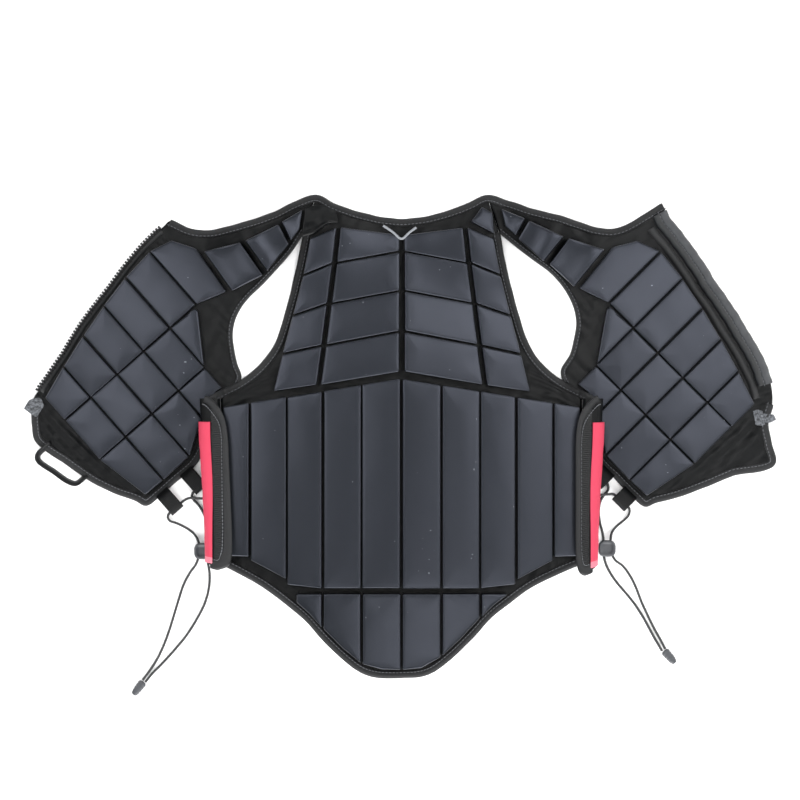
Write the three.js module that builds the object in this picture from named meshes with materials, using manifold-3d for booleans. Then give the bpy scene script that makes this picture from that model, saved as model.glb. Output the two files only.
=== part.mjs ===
import * as THREE from "three";
import { mergeVertices } from "three/addons/utils/BufferGeometryUtils.js";
import Module from "manifold-3d";

// An equestrian body protector, unzipped and laid open on the floor with its padded
// inside up. Millimetres. X runs across the back, Y from the tail to the neck, Z up.
// The origin lies under the middle of the back, on the face that rests on the floor.

// Back panel
const backLength = 527; // middle of the neckline to the tail
const backHalf = 208; // spine to the side edge
const shoulderHalf = 98; // spine to the top of the shoulder

// Front panels, each in its own frame: "along" runs down the zip from the shoulder,
// "across" from the first column line towards the side edge
const frontLength = 430; // shoulder to the hem corner
const frontWidth = 136; // first column line to the side edge
const zipColumnTop = 82; // widths of the wedge column that lies beside the zip
const zipColumnFoot = 34.5;
const zipTaper = 1.5; // how late the wedge narrows
const leftFrontTurn = 48.7; // degrees that each front swings outwards
const rightFrontTurn = 45;
const strapSway = 7.4; // how far each shoulder strap bends away from the mean line
const rightCornerDrop = 20; // extra reach of the right front's loose corners
const hemDropShare = 0.27; // how much of it the hem beside the lower corner shares
const leftArmSway = 4.5; // how far each front's cloth reaches out into its armhole
const rightArmSway = -5.5;
const rightWedge = 3; // how much wider the right front's wedge column is
const strapShare = 0.2; // part of a front's length that bends as its strap
const hemSway = 5.5; // how far the middle of the back's hem lies to the left

// Thicknesses and heights
const shellWall = 2.5;
const foamThickness = 20;
const grooveFloor = 4; // foam left under a scored groove
const edgeRound = 3; // rounding of the foam blocks
const seatGap = 0.3; // clearance under a piece that rests on another
const shoulderLift = 7; // how far the shoulder seam stands off the floor
const strapArch = 11; // extra rise of the strap between the seam and the front
const strapReach = 110; // length of strap that stands off the floor
const yokeReach = 90; // length of back that rises with the seam
const seamAway = 0.6; // gap between a strap's head and the back at the seam
const facetReach = 9; // how far nearer to the seam the height under a piece is taken
const facetRise = 0.06; // and how much of the strap's height is added to it

// Seams and gaps between the blocks
const yokeGap = 5.5;
const blockGap = 2.6;
const edgeClear = 2; // bare cloth between a binding and the foam

// Bindings and tapes
const bindingWidth = 7;
const armTapeWidth = 4.5; // of the narrower tape on the fronts' armholes
const armTapeClear = 0.5;
const bindingHeight = 3;
const tapeWidth = 9;
const tapeHeight = 1.4;
const teethHeight = 3;
const stormWidth = 18;
const stormHeight = 7;
const stormProud = 2; // how far the storm flap stands out past the right front's cloth
const teethWidth = 3; // and the teeth past the left front's
const zipLap = 3; // gap between the right zip tape and the storm flap
const zipRange = { from: 0.376, to: 0.9 }; // ends of the zip tapes, shares of frontLength
const stormRange = { from: 0.372, to: 0.89 };
const zipSteps = 16;

// Side flaps
const flapReach = 22; // how far the flap bulges past the back's side edge at its top
const flapTaper = 0.36; // share of that reach that is lost towards its foot
const leftFlapLean = 6; // how far the left flap's free edge leans inwards at its foot
const flapCurl = 19; // how far it stands above the foam
const flapRoot = 0.09; // how far past the back's edge the flap starts, of flapReach
const flapWall = 2.2;
const trimWall = 1;

// Lacing
const leftTabLength = 17;
const leftTabReach = 28.5;
const rightTabLength = 20;
const rightTabReach = 21;
const tabWall = 1.3;
const cordDiameter = 3;
const cordSides = 8;
const cordStep = 11;
const lockHeight = 9;
const lockWidth = 20;
const lockDepth = 19;
const endLength = 19;
const endWidth = 10;
const endHeight = 7;
const floorGap = 0.4; // under the loose locks and cord ends
const lockBoreGap = 0.6; // round a cord in its lock
const lockBoreReach = 0.8; // half length of a bore, of lockDepth
const blockSquareness = 0.7; // 1 is an oval plan, less is squarer

// Loops
const webbingReach = 15;
const webbingWidth = 9;
const webbingWall = 2;
const neckLoopWidth = 3.5;
const neckLoopWall = 1.2;

// Clearances of the cutting prisms
const backClearance = 1.2;
const frontClearance = 0.5;
const prismHeight = 200;

const shellTop = shellWall + seatGap;
const foamTop = shellTop + foamThickness;

// Half outline of the back: shares of backHalf and backLength; spine is where the same
// section crosses the middle, bow is how the section curves between the two
const backSections = [
  { out: 0.471, up: 0.5264, spine: 0.4744, bow: 1.8 },
  { out: 0.538, up: 0.4478, spine: 0.42, bow: 1.5 },
  { out: 0.562, up: 0.395, spine: 0.37, bow: 1.3 },
  { out: 0.591, up: 0.3435, spine: 0.322, bow: 1.2 },
  { out: 0.639, up: 0.2713, spine: 0.27, bow: 1 },
  { out: 0.697, up: 0.203, spine: 0.215, bow: 1 },
  { out: 0.769, up: 0.1613, spine: 0.175, bow: 1 },
  { out: 0.875, up: 0.1252, spine: 0.14, bow: 1 },
  { out: 1, up: 0.0987, spine: 0.105, bow: 1 },
];

// Hem of the back from the spine to the side: shares of backHalf and backLength
const hemSections = [
  { out: 0, up: -0.5256 },
  { out: 0.13, up: -0.522 },
  { out: 0.207, up: -0.511 },
  { out: 0.303, up: -0.482 },
  { out: 0.413, up: -0.44 },
  { out: 0.524, up: -0.393 },
  { out: 0.635, up: -0.357 },
  { out: 0.745, up: -0.326 },
  { out: 0.856, up: -0.302 },
  { out: 0.942, up: -0.2856 },
  { out: 1, up: -0.277 },
];

// Half outline of a front, top to bottom: zip is the edge beside the neck and the zip,
// side is the edge beside the armhole, the side and the hem. Along is a share of
// frontLength, across of frontWidth; on the rows that follow the zip the across value
// comes from the wedge column and the zip margin, and corner says how much of the right
// front's extra reach a row takes; arm is how far it takes part in the armhole's sway
const frontSections = [
  { zipAlong: 0, zipAcross: 0.031, sideAlong: 0.0916, sideAcross: 0.19, corner: 0, arm: 0 },
  { zipAlong: 0.0567, zipAcross: -0.059, sideAlong: 0.15, sideAcross: 0.199, corner: 0, arm: 0 },
  { zipAlong: 0.117, zipAcross: -0.132, sideAlong: 0.206, sideAcross: 0.202, corner: 0, arm: 0.4 },
  { zipAlong: 0.173, zipAcross: -0.22, sideAlong: 0.266, sideAcross: 0.199, corner: 0, arm: 1 },
  { zipAlong: 0.224, zipAcross: -0.301, sideAlong: 0.317, sideAcross: 0.206, corner: 0, arm: 1 },
  { zipAlong: 0.271, zipAcross: -0.382, sideAlong: 0.357, sideAcross: 0.235, corner: 0, arm: 0.9 },
  { zipAlong: 0.31, zipAcross: -0.5, sideAlong: 0.389, sideAcross: 0.283, corner: 0, arm: 0.9 },
  { zipAlong: 0.338, zipAcross: null, sideAlong: 0.415, sideAcross: 0.353, corner: 0.25, arm: 1 },
  { zipAlong: 0.364, zipAcross: null, sideAlong: 0.438, sideAcross: 0.452, corner: 0, arm: 1.1 },
  { zipAlong: 0.406, zipAcross: null, sideAlong: 0.459, sideAcross: 0.566, corner: 0, arm: 1 },
  { zipAlong: 0.457, zipAcross: null, sideAlong: 0.475, sideAcross: 0.7, corner: 0, arm: 0.3 },
  { zipAlong: 0.527, zipAcross: null, sideAlong: 0.522, sideAcross: 0.68, corner: 0, arm: 0 },
  { zipAlong: 0.585, zipAcross: null, sideAlong: 0.573, sideAcross: 0.7, corner: 0, arm: 0 },
  { zipAlong: 0.64, zipAcross: null, sideAlong: 0.62, sideAcross: 0.82, corner: 0, arm: 0 },
  { zipAlong: 0.69, zipAcross: null, sideAlong: 0.666, sideAcross: 0.94, corner: 0, arm: 0 },
  { zipAlong: 0.74, zipAcross: null, sideAlong: 0.72, sideAcross: 1, corner: 0, arm: 0 },
  { zipAlong: 0.79, zipAcross: null, sideAlong: 0.782, sideAcross: 1, corner: 0, arm: 0 },
  { zipAlong: 0.85, zipAcross: null, sideAlong: 0.845, sideAcross: 1, corner: 0, arm: 0 },
  { zipAlong: 0.9, zipAcross: null, sideAlong: 0.888, sideAcross: 0.987, corner: 0, arm: 0 },
  { zipAlong: 0.932, zipAcross: null, sideAlong: 0.9, sideAcross: 0.9, corner: 0.1, arm: 0 },
  { zipAlong: 0.955, zipAcross: -0.23, sideAlong: 0.929, sideAcross: 0.74, corner: 0.2, arm: 0 },
  { zipAlong: 0.978, zipAcross: -0.14, sideAlong: 0.955, sideAcross: 0.54, corner: 0.6, arm: 0 },
  { zipAlong: 0.997, zipAcross: -0.03, sideAlong: 0.977, sideAcross: 0.27, corner: 1.2, arm: 0 },
];

// Cloth beyond the wedge column down each zip edge, in millimetres
const zipMargins = [
  { along: 0.338, left: 11, right: 43 },
  { along: 0.39, left: 11.5, right: 36 },
  { along: 0.457, left: 9.5, right: 33.5 },
  { along: 0.58, left: 7, right: 31 },
  { along: 0.7, left: 9, right: 33 },
  { along: 0.79, left: 8, right: 35 },
  { along: 0.86, left: 10, right: 35 },
  { along: 0.9, left: 12, right: 31 },
  { along: 0.932, left: 8, right: 17 },
];

// Row lines of the yoke: shares of backLength at the spine, at the seam between the
// columns and at the armhole
const yokeRows = [
  { spine: 0.4425, seam: 0.459, arm: 0.434 },
  { spine: 0.405, seam: 0.3795, arm: 0.352 },
  { spine: 0.319, seam: 0.291, arm: 0.2645 },
  { spine: 0.2305, seam: 0.2, arm: 0.181 },
  { spine: 0.1415, seam: 0.1125, arm: 0.0985 },
];

// Column lines of the yoke at the same rows: shares of backHalf
const yokeColumns = [
  { seam: 0.346, arm: 0.507 },
  { seam: 0.368, arm: 0.547 },
  { seam: 0.397, arm: 0.603 },
  { seam: 0.426, arm: 0.659 },
  { seam: 0.456, arm: 0.711 },
];

// Shoulder block above the outer yoke column, from its foot to its head
const shoulderRows = [
  { inner: 0.373, innerUp: 0.4685, outer: 0.51, outerUp: 0.4405 },
  { inner: 0.438, innerUp: 0.5035, outer: 0.5, outerUp: 0.489 },
];

// Long blocks of the back from the spine out: width shares of backHalf, feet of backLength
const longBlocks = [
  { inner: 0, outer: 0.219, innerFoot: -0.332, outerFoot: -0.332 },
  { inner: 0.219, outer: 0.433, innerFoot: -0.332, outerFoot: -0.332 },
  { inner: 0.433, outer: 0.632, innerFoot: -0.332, outerFoot: -0.323 },
  { inner: 0.632, outer: 0.837, innerFoot: -0.313, outerFoot: -0.27 },
  { inner: 0.837, outer: 0.99, innerFoot: -0.263, outerFoot: -0.261 },
];
const longTop = { spine: 0.129, fall: 0.063 };
const tailTop = -0.339;
const tailShares = [[0, 0.5, 1], [0, 0.5, 1], [0, 0.37, 0.74]]; // the outer one is narrower
const hemReach = 8; // half of the length over which the hem's slope is read

// Columns of a front: the rows are shares of frontLength, shared by all columns
const frontRows = [0.4335, 0.527, 0.621, 0.715, 0.8085, 0.902];
const middleColumn = 0.445; // line between the second and third column, of frontWidth
const outerFoot = 0.872; // outer corner of the third column's foot, above the round hem
const topBlock = [
  { along: 0.3335, across: -0.36, armAlong: 0.3485, armAcross: 0.09 },
  { along: 0.369, across: -0.55, armAlong: 0.379, armAcross: 0.06 },
];
const cornerBlock = { along: 0.44, from: 0.012, to: 0.05 }; // head of the middle column

// Shoulder strap blocks: shares of frontLength and frontWidth at the two sides
const strapRows = [
  [
    { zipAlong: 0.234, zipAcross: -0.155, sideAlong: 0.247, sideAcross: 0.198 },
    { zipAlong: 0.282, zipAcross: -0.235, sideAlong: 0.294, sideAcross: 0.155 },
    { zipAlong: 0.327, zipAcross: -0.31, sideAlong: 0.341, sideAcross: 0.112 },
  ],
  [
    { zipAlong: 0.126, zipAcross: -0.05, sideAlong: 0.141, sideAcross: 0.137 },
    { zipAlong: 0.178, zipAcross: -0.1, sideAlong: 0.19, sideAcross: 0.155 },
    { zipAlong: 0.226, zipAcross: -0.15, sideAlong: 0.236, sideAcross: 0.18 },
  ],
  [
    { zipAlong: 0.05, zipAcross: 0.022, sideAlong: 0.093, sideAcross: 0.125 },
    { zipAlong: 0.084, zipAcross: -0.01, sideAlong: 0.114, sideAcross: 0.13 },
    { zipAlong: 0.119, zipAcross: -0.045, sideAlong: 0.135, sideAcross: 0.135 },
  ],
];

// Section of a side flap from the back's edge to its free edge: out is a share of
// flapReach, foam of the foam's height, curl of flapCurl
const flapSection = [
  { out: flapRoot, foam: 0.06, curl: 0 },
  { out: 0.1, foam: 0.55, curl: 0 },
  { out: 0.16, foam: 1, curl: 0.1 },
  { out: 0.48, foam: 1, curl: 0.28 },
  { out: 0.88, foam: 1, curl: 0.42 },
  { out: 1, foam: 1, curl: 0.66 },
  { out: 0.86, foam: 1, curl: 0.9 },
  { out: 0.46, foam: 1, curl: 1.02 },
  { out: 0, foam: 1, curl: 1.05 },
  { out: -0.32, foam: 1, curl: 0.99 },
];
const flapTop = 0.084; // ends of the flap, shares of backLength
const flapFoot = -0.262;
const leftFootDrop = 0.022; // how much lower the flap's free edge hangs on each side
const rightFootDrop = 0.036;

// How far round its section the flap reaches from its top to its foot
const flapEnds = [
  { down: 0, around: 0.74 },
  { down: 0.06, around: 0.87 },
  { down: 0.13, around: 0.96 },
  { down: 0.2, around: 1 },
  { down: 0.9, around: 1 },
  { down: 1, around: 0.95 },
];
const redStrip = { from: 0.5, to: 0.75, top: 0.14, foot: 0.99 };

// Places of the lacing tabs along the front's side edge
const tabPlaces = [0.75, 0.835];
const webbingPlace = { from: 0.47, to: 0.06 }; // feet of the webbing loop, of frontWidth

// Bend of the webbing loop from one foot to the other; out is a share of webbingReach
const webbingBend = [
  { share: 0, out: -0.13 },
  { share: 0.02, out: 0.9 },
  { share: 0.17, out: 1.2 },
  { share: 0.5, out: 1.35 },
  { share: 0.9, out: 1.5 },
  { share: 0.99, out: 1.2 },
  { share: 1, out: -0.13 },
];

// Small neck loop from end to end: out is a share of backHalf, up of backLength
const neckLoopPoints = [
  { out: -0.101, up: 0.461 },
  { out: -0.048, up: 0.447 },
  { out: -0.0072, up: 0.433 },
  { out: 0.0072, up: 0.433 },
  { out: 0.0433, up: 0.446 },
  { out: 0.0817, up: 0.457 },
];

// Routes of the lacing cords, chosen by hand, from the flap to the cord end
const cordRoutes = {
  left_cord_outer: [
    [-216, -70, 8], [-224, -70.5, 7.7], [-231, -70.8, 7.5], [-238, -70.4, 7],
    [-243, -70.2, 6.2], [-248, -71.6, 4.8], [-253.8, -75.7, 3.9], [-260.3, -81.7, 3.8],
    [-266.7, -86.9, 3.8], [-269.6, -92, 3.3], [-267.4, -96.6, 2.6],
    [-260, -99.2, 2], [-252, -102.8, 2], [-244.5, -107.2, 2.8], [-238, -113, 4.3],
    [-234, -121, 5], [-233.2, -134, 5], [-236.5, -146, 4.2],
    [-243.5, -156, 2.4], [-251, -170, 1.9], [-257, -188, 1.9], [-263, -208, 1.9],
    [-270.5, -231, 1.9], [-280, -253, 1.9], [-290, -269, 2.6], [-298.3, -280.3, 3.8],
  ],
  left_cord_inner: [
    [-214, -41, 4.4], [-220, -46.2, 3.9], [-226.7, -51.9, 3.8], [-233, -57.5, 3.8],
    [-239.5, -63.3, 3.7], [-241.8, -67.6, 3.2], [-239.6, -72.4, 2.4], [-234.8, -77.5, 1.9],
    [-230, -84.5, 1.9], [-226.5, -92, 1.9], [-224.8, -101, 2.6], [-224.6, -111, 4.2],
    [-224.8, -121, 5], [-224.8, -134, 5], [-222.8, -147, 4.4], [-221.2, -158, 2.6],
    [-222, -174, 1.9],
    [-226.8, -192, 1.9], [-236.5, -211, 1.9], [-248, -229, 1.9], [-262, -246, 1.9],
    [-277, -262.5, 1.9], [-287.5, -273, 2.6], [-295.3, -282.7, 3.8],
  ],
  right_cord_outer: [
    [216, -67, 8], [223, -67, 7.7], [231, -66.5, 7.5], [239, -66, 6],
    [244.5, -66, 4], [251.5, -71.5, 3.6], [257.5, -77.5, 3.6], [262.7, -82.7, 3.5],
    [262, -90, 3], [256, -96.5, 2.3], [248.5, -102.5, 2.8], [242.8, -109.5, 4.4],
    [241, -118, 5], [241.2, -130, 5], [246, -141.5, 4.4], [255, -148.5, 2.6],
    [263.5, -160, 1.9], [270.5, -174, 1.9], [277, -191, 1.9], [284.5, -207, 1.9],
    [292.5, -223, 1.9], [299.5, -235.5, 2.6], [304, -244.4, 3.8],
  ],
  right_cord_inner: [
    [217, -34, 5], [222.5, -39, 4], [230, -46.5, 3.6], [237.2, -53.8, 3.6],
    [238.3, -60.8, 3], [233, -67.5, 2.2], [229, -75, 1.9], [227.5, -87, 1.9],
    [228.8, -99, 2.4], [231.6, -110, 4.4], [232.6, -118, 5], [232.6, -130, 5],
    [234, -141, 4.4], [238.5, -153, 2.6], [248, -167.5, 1.9], [259, -180.5, 1.9],
    [269, -193, 1.9], [278, -207, 1.9], [286, -221.5, 1.9], [292.5, -233.5, 1.9],
    [296.5, -240, 2.6], [300.2, -246.8, 3.8],
  ],
};
const lockPlaces = { left: [-229, -131.5], right: [236.9, -128.5] };
const endPlaces = {
  left: { at: [-297.3, -282.2], heading: [-0.62, -0.785] },
  right: { at: [302.7, -246.4], heading: [0.665, -0.747] },
};

// Levels of a cord lock and rings of a cord end, as shares of their sizes
const lockLevels = [
  { up: 0, size: 0.86 },
  { up: 0.2, size: 1 },
  { up: 0.8, size: 1 },
  { up: 1, size: 0.84 },
];
const endRings = [
  { along: 0, wide: 0.9, low: 0.1, high: 0.92 },
  { along: 0.12, wide: 1, low: 0, high: 1 },
  { along: 0.7, wide: 0.92, low: 0, high: 0.9 },
  { along: 1, wide: 0.66, low: 0.1, high: 0.72 },
];

const wasm = await Module();
wasm.setup();

const group = new THREE.Group();

const finishes = {
  foam: { color: 0x454b54, roughness: 0.75, metalness: 0 },
  cloth: { color: 0x17181b, roughness: 0.5, metalness: 0 },
  tape: { color: 0x2c2d31, roughness: 0.8, metalness: 0 },
  red: { color: 0xf5506a, roughness: 0.7, metalness: 0 },
  grey: { color: 0xa9aaac, roughness: 0.7, metalness: 0 },
  plastic: { color: 0x16171a, roughness: 0.35, metalness: 0 },
};

function addPiece(name, geometry, finish) {
  const mesh = new THREE.Mesh(geometry, new THREE.MeshStandardMaterial(finishes[finish]));
  mesh.name = name;
  group.add(mesh);
}

const clamp01 = (value) => Math.min(1, Math.max(0, value));

function smoothStep(value) {
  const share = clamp01(value);
  return share * share * (3 - 2 * share);
}

/** Reads a table by its first column and blends the named column between two rows. */
function readTable(rows, key, at, column) {
  const next = rows.findIndex((row) => row[key] >= at);
  if (next <= 0) return rows[next === 0 ? 0 : rows.length - 1][column];
  const [low, high] = [rows[next - 1], rows[next]];
  const share = (at - low[key]) / (high[key] - low[key]);
  return low[column] + share * (high[column] - low[column]);
}

/** Turns a list of points and triangles into a closed geometry whose faces point out. */
function closedGeometry(points, triangles) {
  let volume = 0;
  for (const [a, b, c] of triangles) {
    volume += points[a].dot(new THREE.Vector3().crossVectors(points[b], points[c]));
  }
  const ordered = volume < 0 ? triangles.map(([a, b, c]) => [a, c, b]) : triangles;
  const geometry = new THREE.BufferGeometry();
  geometry.setAttribute(
    "position",
    new THREE.Float32BufferAttribute(points.flatMap((point) => point.toArray()), 3),
  );
  geometry.setIndex(ordered.flat());
  return geometry;
}

/** A sheet: a grid of top points over a grid of bottom points, closed round the edge. */
function sheet(rows, columns, top, bottom) {
  const points = [];
  for (const side of [top, bottom]) {
    for (let i = 0; i < rows; i += 1) {
      for (let j = 0; j < columns; j += 1) points.push(side(i, j));
    }
  }
  const below = rows * columns;
  const at = (i, j) => i * columns + j;
  const triangles = [];
  const quad = (a, b, c, d) => triangles.push([a, b, c], [a, c, d]);
  for (let i = 0; i + 1 < rows; i += 1) {
    for (let j = 0; j + 1 < columns; j += 1) {
      const [a, b, c, d] = [at(i, j), at(i + 1, j), at(i + 1, j + 1), at(i, j + 1)];
      triangles.push([a, b, c], [a, c, d]);
      triangles.push([a + below, c + below, b + below], [a + below, d + below, c + below]);
    }
  }
  for (let i = 0; i + 1 < rows; i += 1) {
    quad(at(i, 0), at(i, 0) + below, at(i + 1, 0) + below, at(i + 1, 0));
    const end = columns - 1;
    quad(at(i + 1, end), at(i + 1, end) + below, at(i, end) + below, at(i, end));
  }
  for (let j = 0; j + 1 < columns; j += 1) {
    quad(at(0, j + 1), at(0, j + 1) + below, at(0, j) + below, at(0, j));
    const end = rows - 1;
    quad(at(end, j), at(end, j) + below, at(end, j + 1) + below, at(end, j + 1));
  }
  return closedGeometry(points, triangles);
}

/** A bar: the same number of points in every ring, joined ring to ring, flat ends. */
function bar(rings) {
  const count = rings[0].length;
  const points = rings.flat();
  const triangles = [];
  for (let i = 0; i + 1 < rings.length; i += 1) {
    for (let j = 0; j < count; j += 1) {
      const k = (j + 1) % count;
      const [a, b, c, d] = [i * count + j, (i + 1) * count + j, (i + 1) * count + k, i * count + k];
      triangles.push([a, b, c], [a, c, d]);
    }
  }
  const last = (rings.length - 1) * count;
  for (let j = 1; j + 1 < count; j += 1) {
    triangles.push([0, j, j + 1], [last, last + j + 1, last + j]);
  }
  return closedGeometry(points, triangles);
}

function toSolid(geometry) {
  const bare = geometry.clone();
  bare.deleteAttribute("normal");
  bare.deleteAttribute("uv");
  const merged = mergeVertices(bare, 1e-4);
  return new wasm.Manifold(
    new wasm.Mesh({
      numProp: 3,
      vertProperties: merged.attributes.position.array,
      triVerts: new Uint32Array(merged.index.array),
    }),
  );
}

function fromSolid(solid) {
  const mesh = solid.getMesh();
  const geometry = new THREE.BufferGeometry();
  geometry.setAttribute("position", new THREE.BufferAttribute(mesh.vertProperties, 3));
  geometry.setIndex(new THREE.BufferAttribute(mesh.triVerts, 1));
  return geometry;
}

/** A smooth line through points in the plane, with its first intervals halved. */
function smoothLine(points, halved = points.length - 1) {
  const curve = new THREE.CatmullRomCurve3(
    points.map(([x, y]) => new THREE.Vector3(x, y, 0)),
    false,
    "centripetal",
  );
  const last = points.length - 1;
  return Array.from({ length: last + halved + 1 }, (_, i) => {
    const place = i < 2 * halved ? i / 2 : i - halved;
    const point = curve.getPoint(place / last);
    return [point.x, point.y];
  });
}

/** The unit normal to the left of a line in the plane at one of its points. */
function leftNormal(line, i) {
  const [before, after] = [line[Math.max(0, i - 1)], line[Math.min(line.length - 1, i + 1)]];
  const [dx, dy] = [after[0] - before[0], after[1] - before[1]];
  const length = Math.hypot(dx, dy);
  return [-dy / length, dx / length];
}

// The two sides of the body. The sign is that of X; turn is the swing of the front
const sides = {
  left: {
    name: "left",
    sign: -1,
    turn: leftFrontTurn,
    sway: -strapSway,
    armSway: leftArmSway,
    wedge: 0,
    flapLean: leftFlapLean,
    footDrop: leftFootDrop,
    drop: 0,
    tabLength: leftTabLength,
    tabReach: leftTabReach,
  },
  right: {
    name: "right",
    sign: 1,
    turn: rightFrontTurn,
    sway: strapSway,
    armSway: rightArmSway,
    wedge: rightWedge,
    flapLean: 0,
    footDrop: rightFootDrop,
    drop: rightCornerDrop,
    tabLength: rightTabLength,
    tabReach: rightTabReach,
  },
};

const shoulderTop = [shoulderHalf, backSections[0].up * backLength];
const shoulderEnd = [backSections[1].out * backHalf, backSections[1].up * backLength];
const seamMiddle = [
  (shoulderTop[0] + shoulderEnd[0]) / 2,
  (shoulderTop[1] + shoulderEnd[1]) / 2,
];
const seamHalf = Math.hypot(shoulderTop[0] - seamMiddle[0], shoulderTop[1] - seamMiddle[1]);

const seamDistance = (x, y) =>
  Math.max(0, Math.hypot(Math.abs(x) - seamMiddle[0], y - seamMiddle[1]) - seamHalf);

/** Height of the back's underside: flat, rising smoothly to the shoulder seam. */
const backHeight = (x, y) => shoulderLift * smoothStep(1 - seamDistance(x, y) / yokeReach);

/** Height of a front's underside: the strap leaves the seam, arches and comes down. */
function frontHeight(x, y) {
  const share = clamp01(seamDistance(x, y) / strapReach);
  return shoulderLift * smoothStep(1 - share) + strapArch * Math.sin(Math.PI * share) ** 2;
}

/** Seat of a piece on a shell whose underside has the given height. */
const seatOn = (height) => height + shellWall + seatGap;

/** The same heights a little nearer to the seam: no facet of the shell stands above them. */
const nearer = (x, y) => {
  const [dx, dy] = [Math.abs(x) - seamMiddle[0], y - seamMiddle[1]];
  const distance = Math.hypot(dx, dy);
  const share = Math.max(0, distance - facetReach) / distance;
  return [Math.sign(x) * (seamMiddle[0] + dx * share), seamMiddle[1] + dy * share];
};
const backSeat = (x, y) => backHeight(...nearer(x, y));
const frontSeat = (x, y) =>
  Math.max(frontHeight(x, y) * (1 + facetRise), frontHeight(...nearer(x, y)));

/** A front's own frame: along from the shoulder, across from the first column line. */
function frontPoint(side, along, across) {
  const turn = THREE.MathUtils.degToRad(side.turn);
  const strap = clamp01(1 - along / (strapShare * frontLength));
  const start = frontSections[0].zipAcross * frontWidth;
  const swayed = across - start + side.sway * (smoothStep(strap) - 1);
  const [cos, sin] = [Math.cos(turn), Math.sin(turn)];
  return [
    side.sign * (shoulderTop[0] + sin * along - cos * swayed),
    shoulderTop[1] - cos * along - sin * swayed,
  ];
}

/** The way back: a place in the plane to a front's own along and across. */
function frontFrame(side, [x, y]) {
  const turn = THREE.MathUtils.degToRad(side.turn);
  const [u, v] = [side.sign * x - shoulderTop[0], shoulderTop[1] - y];
  const [cos, sin] = [Math.cos(turn), Math.sin(turn)];
  const along = sin * u + cos * v;
  const strap = clamp01(1 - along / (strapShare * frontLength));
  const start = frontSections[0].zipAcross * frontWidth;
  const across = sin * v - cos * u + start - side.sway * (smoothStep(strap) - 1);
  return { along, across };
}

/** Width of the wedge column beside the zip at a place along the front. */
function zipColumn(along) {
  const [head, foot] = [frontRows[0] * frontLength, frontRows.at(-1) * frontLength];
  const share = clamp01((along - head) / (foot - head)) ** zipTaper;
  return zipColumnTop + share * (zipColumnFoot - zipColumnTop);
}

/** Cloth beyond the wedge column at a share of a front's length. */
const zipMargin = (side, share) => readTable(zipMargins, "along", share, side.name);

/** The zip-side and side-edge points of one row of a front's outline. */
function frontRow(side, row) {
  const zipAlong = row.zipAlong * frontLength + row.corner * side.drop;
  const sideAlong = row.sideAlong * frontLength + hemDropShare * row.corner ** 2 * side.drop;
  const zipAcross =
    row.zipAcross === null
      ? -zipColumn(zipAlong) - zipMargin(side, row.zipAlong)
      : row.zipAcross * frontWidth;
  const sideAcross = row.sideAcross * frontWidth + row.arm * side.armSway;
  return {
    zip: frontPoint(side, zipAlong, zipAcross),
    side: frontPoint(side, sideAlong, sideAcross),
  };
}

/** The two smooth edges of a front; the first points lie on the shoulder seam. */
function frontEdges(side) {
  const rows = frontSections.map((row) => frontRow(side, row));
  const beside = ([x, y]) => [side.sign * (x + seamAway), y + seamAway / 3];
  rows[0].zip = beside(shoulderTop);
  rows[0].side = beside(shoulderEnd);
  return {
    zip: smoothLine(rows.map((row) => row.zip), cornerRow),
    side: smoothLine(rows.map((row) => row.side), cornerRow),
  };
}

const cornerRow = 7; // row of a front's outline where the neckline meets the zip
const armholeRow = 10; // row where the back's tip starts to hide the side edge
const sideRow = 14; // row where the side edge comes out from under the flap
const lineRow = (row) => (row < cornerRow ? 2 * row : row + cornerRow);

const backEdge = [
  shoulderTop,
  ...backSections.slice(1).map((row) => [row.out * backHalf, row.up * backLength]),
];
/** Height of the hem at any x: the table's outline, its middle swayed to the left. */
function hemHeight(x) {
  const share = x / backHalf;
  const out = Math.abs(share + (hemSway / backHalf) * (1 - Math.min(1, share ** 6)));
  return backLength * readTable(hemSections, "out", out, "up");
}

/** A place across the back at one row of its table; across is -1 to 1, side to side. */
function backSectionPoint(row, edge, across) {
  const bend = Math.abs(across) ** row.bow;
  const spine = row.spine * backLength;
  return [across * edge[0], spine + (edge[1] - spine) * bend];
}

function backShell() {
  const columns = 11;
  const lowerRows = 6;
  const upper = backSections.length;
  const tip = backSections.at(-1);
  const place = (i, j) => {
    const across = (2 * j) / (columns - 1) - 1;
    const row = backSections[Math.min(i, upper - 1)];
    const edge = backEdge[Math.min(i, upper - 1)];
    const [x, y] = backSectionPoint(i < upper ? row : tip, edge, across);
    if (i < upper) return [x, y];
    const share = (i - upper + 1) / lowerRows;
    return [x, y + share * (hemHeight(x) - y)];
  };
  const level = (i, j, lift) => {
    const [x, y] = place(i, j);
    return new THREE.Vector3(x, y, backHeight(x, y) + lift);
  };
  const rows = upper + lowerRows;
  return sheet(rows, columns, (i, j) => level(i, j, shellWall), (i, j) => level(i, j, 0));
}

/** A line moved to its left by a distance. */
const offsetLine = (line, distance) =>
  line.map((point, i) => {
    const [nx, ny] = leftNormal(line, i);
    return [point[0] + nx * distance, point[1] + ny * distance];
  });

/** A tall upright prism on an outline, to cut other pieces with. */
function prism(outline) {
  const shape = new THREE.Shape(outline.map(([x, y]) => new THREE.Vector2(x, y)));
  const tall = new THREE.ExtrudeGeometry(shape, { depth: prismHeight, bevelEnabled: false });
  tall.translate(0, 0, -prismHeight / 2);
  return toSolid(tall);
}

/** Everything that the back covers, seen from above, with a clearance round it. */
function backPrism(side) {
  const outer = backHalf + flapReach * flapRoot + flapWall + backClearance;
  const line = offsetLine(backEdge.slice(1), backClearance);
  const foot = backLength * hemSections.at(-1).up;
  const head = flapTop * backLength + backClearance;
  const outline = [
    [0, line[0][1]], ...line, [backHalf + backClearance, head],
    [outer, head], [outer, foot], [0, foot],
  ];
  return prism(outline.map(([x, y]) => [side.sign * x, y]));
}

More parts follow.
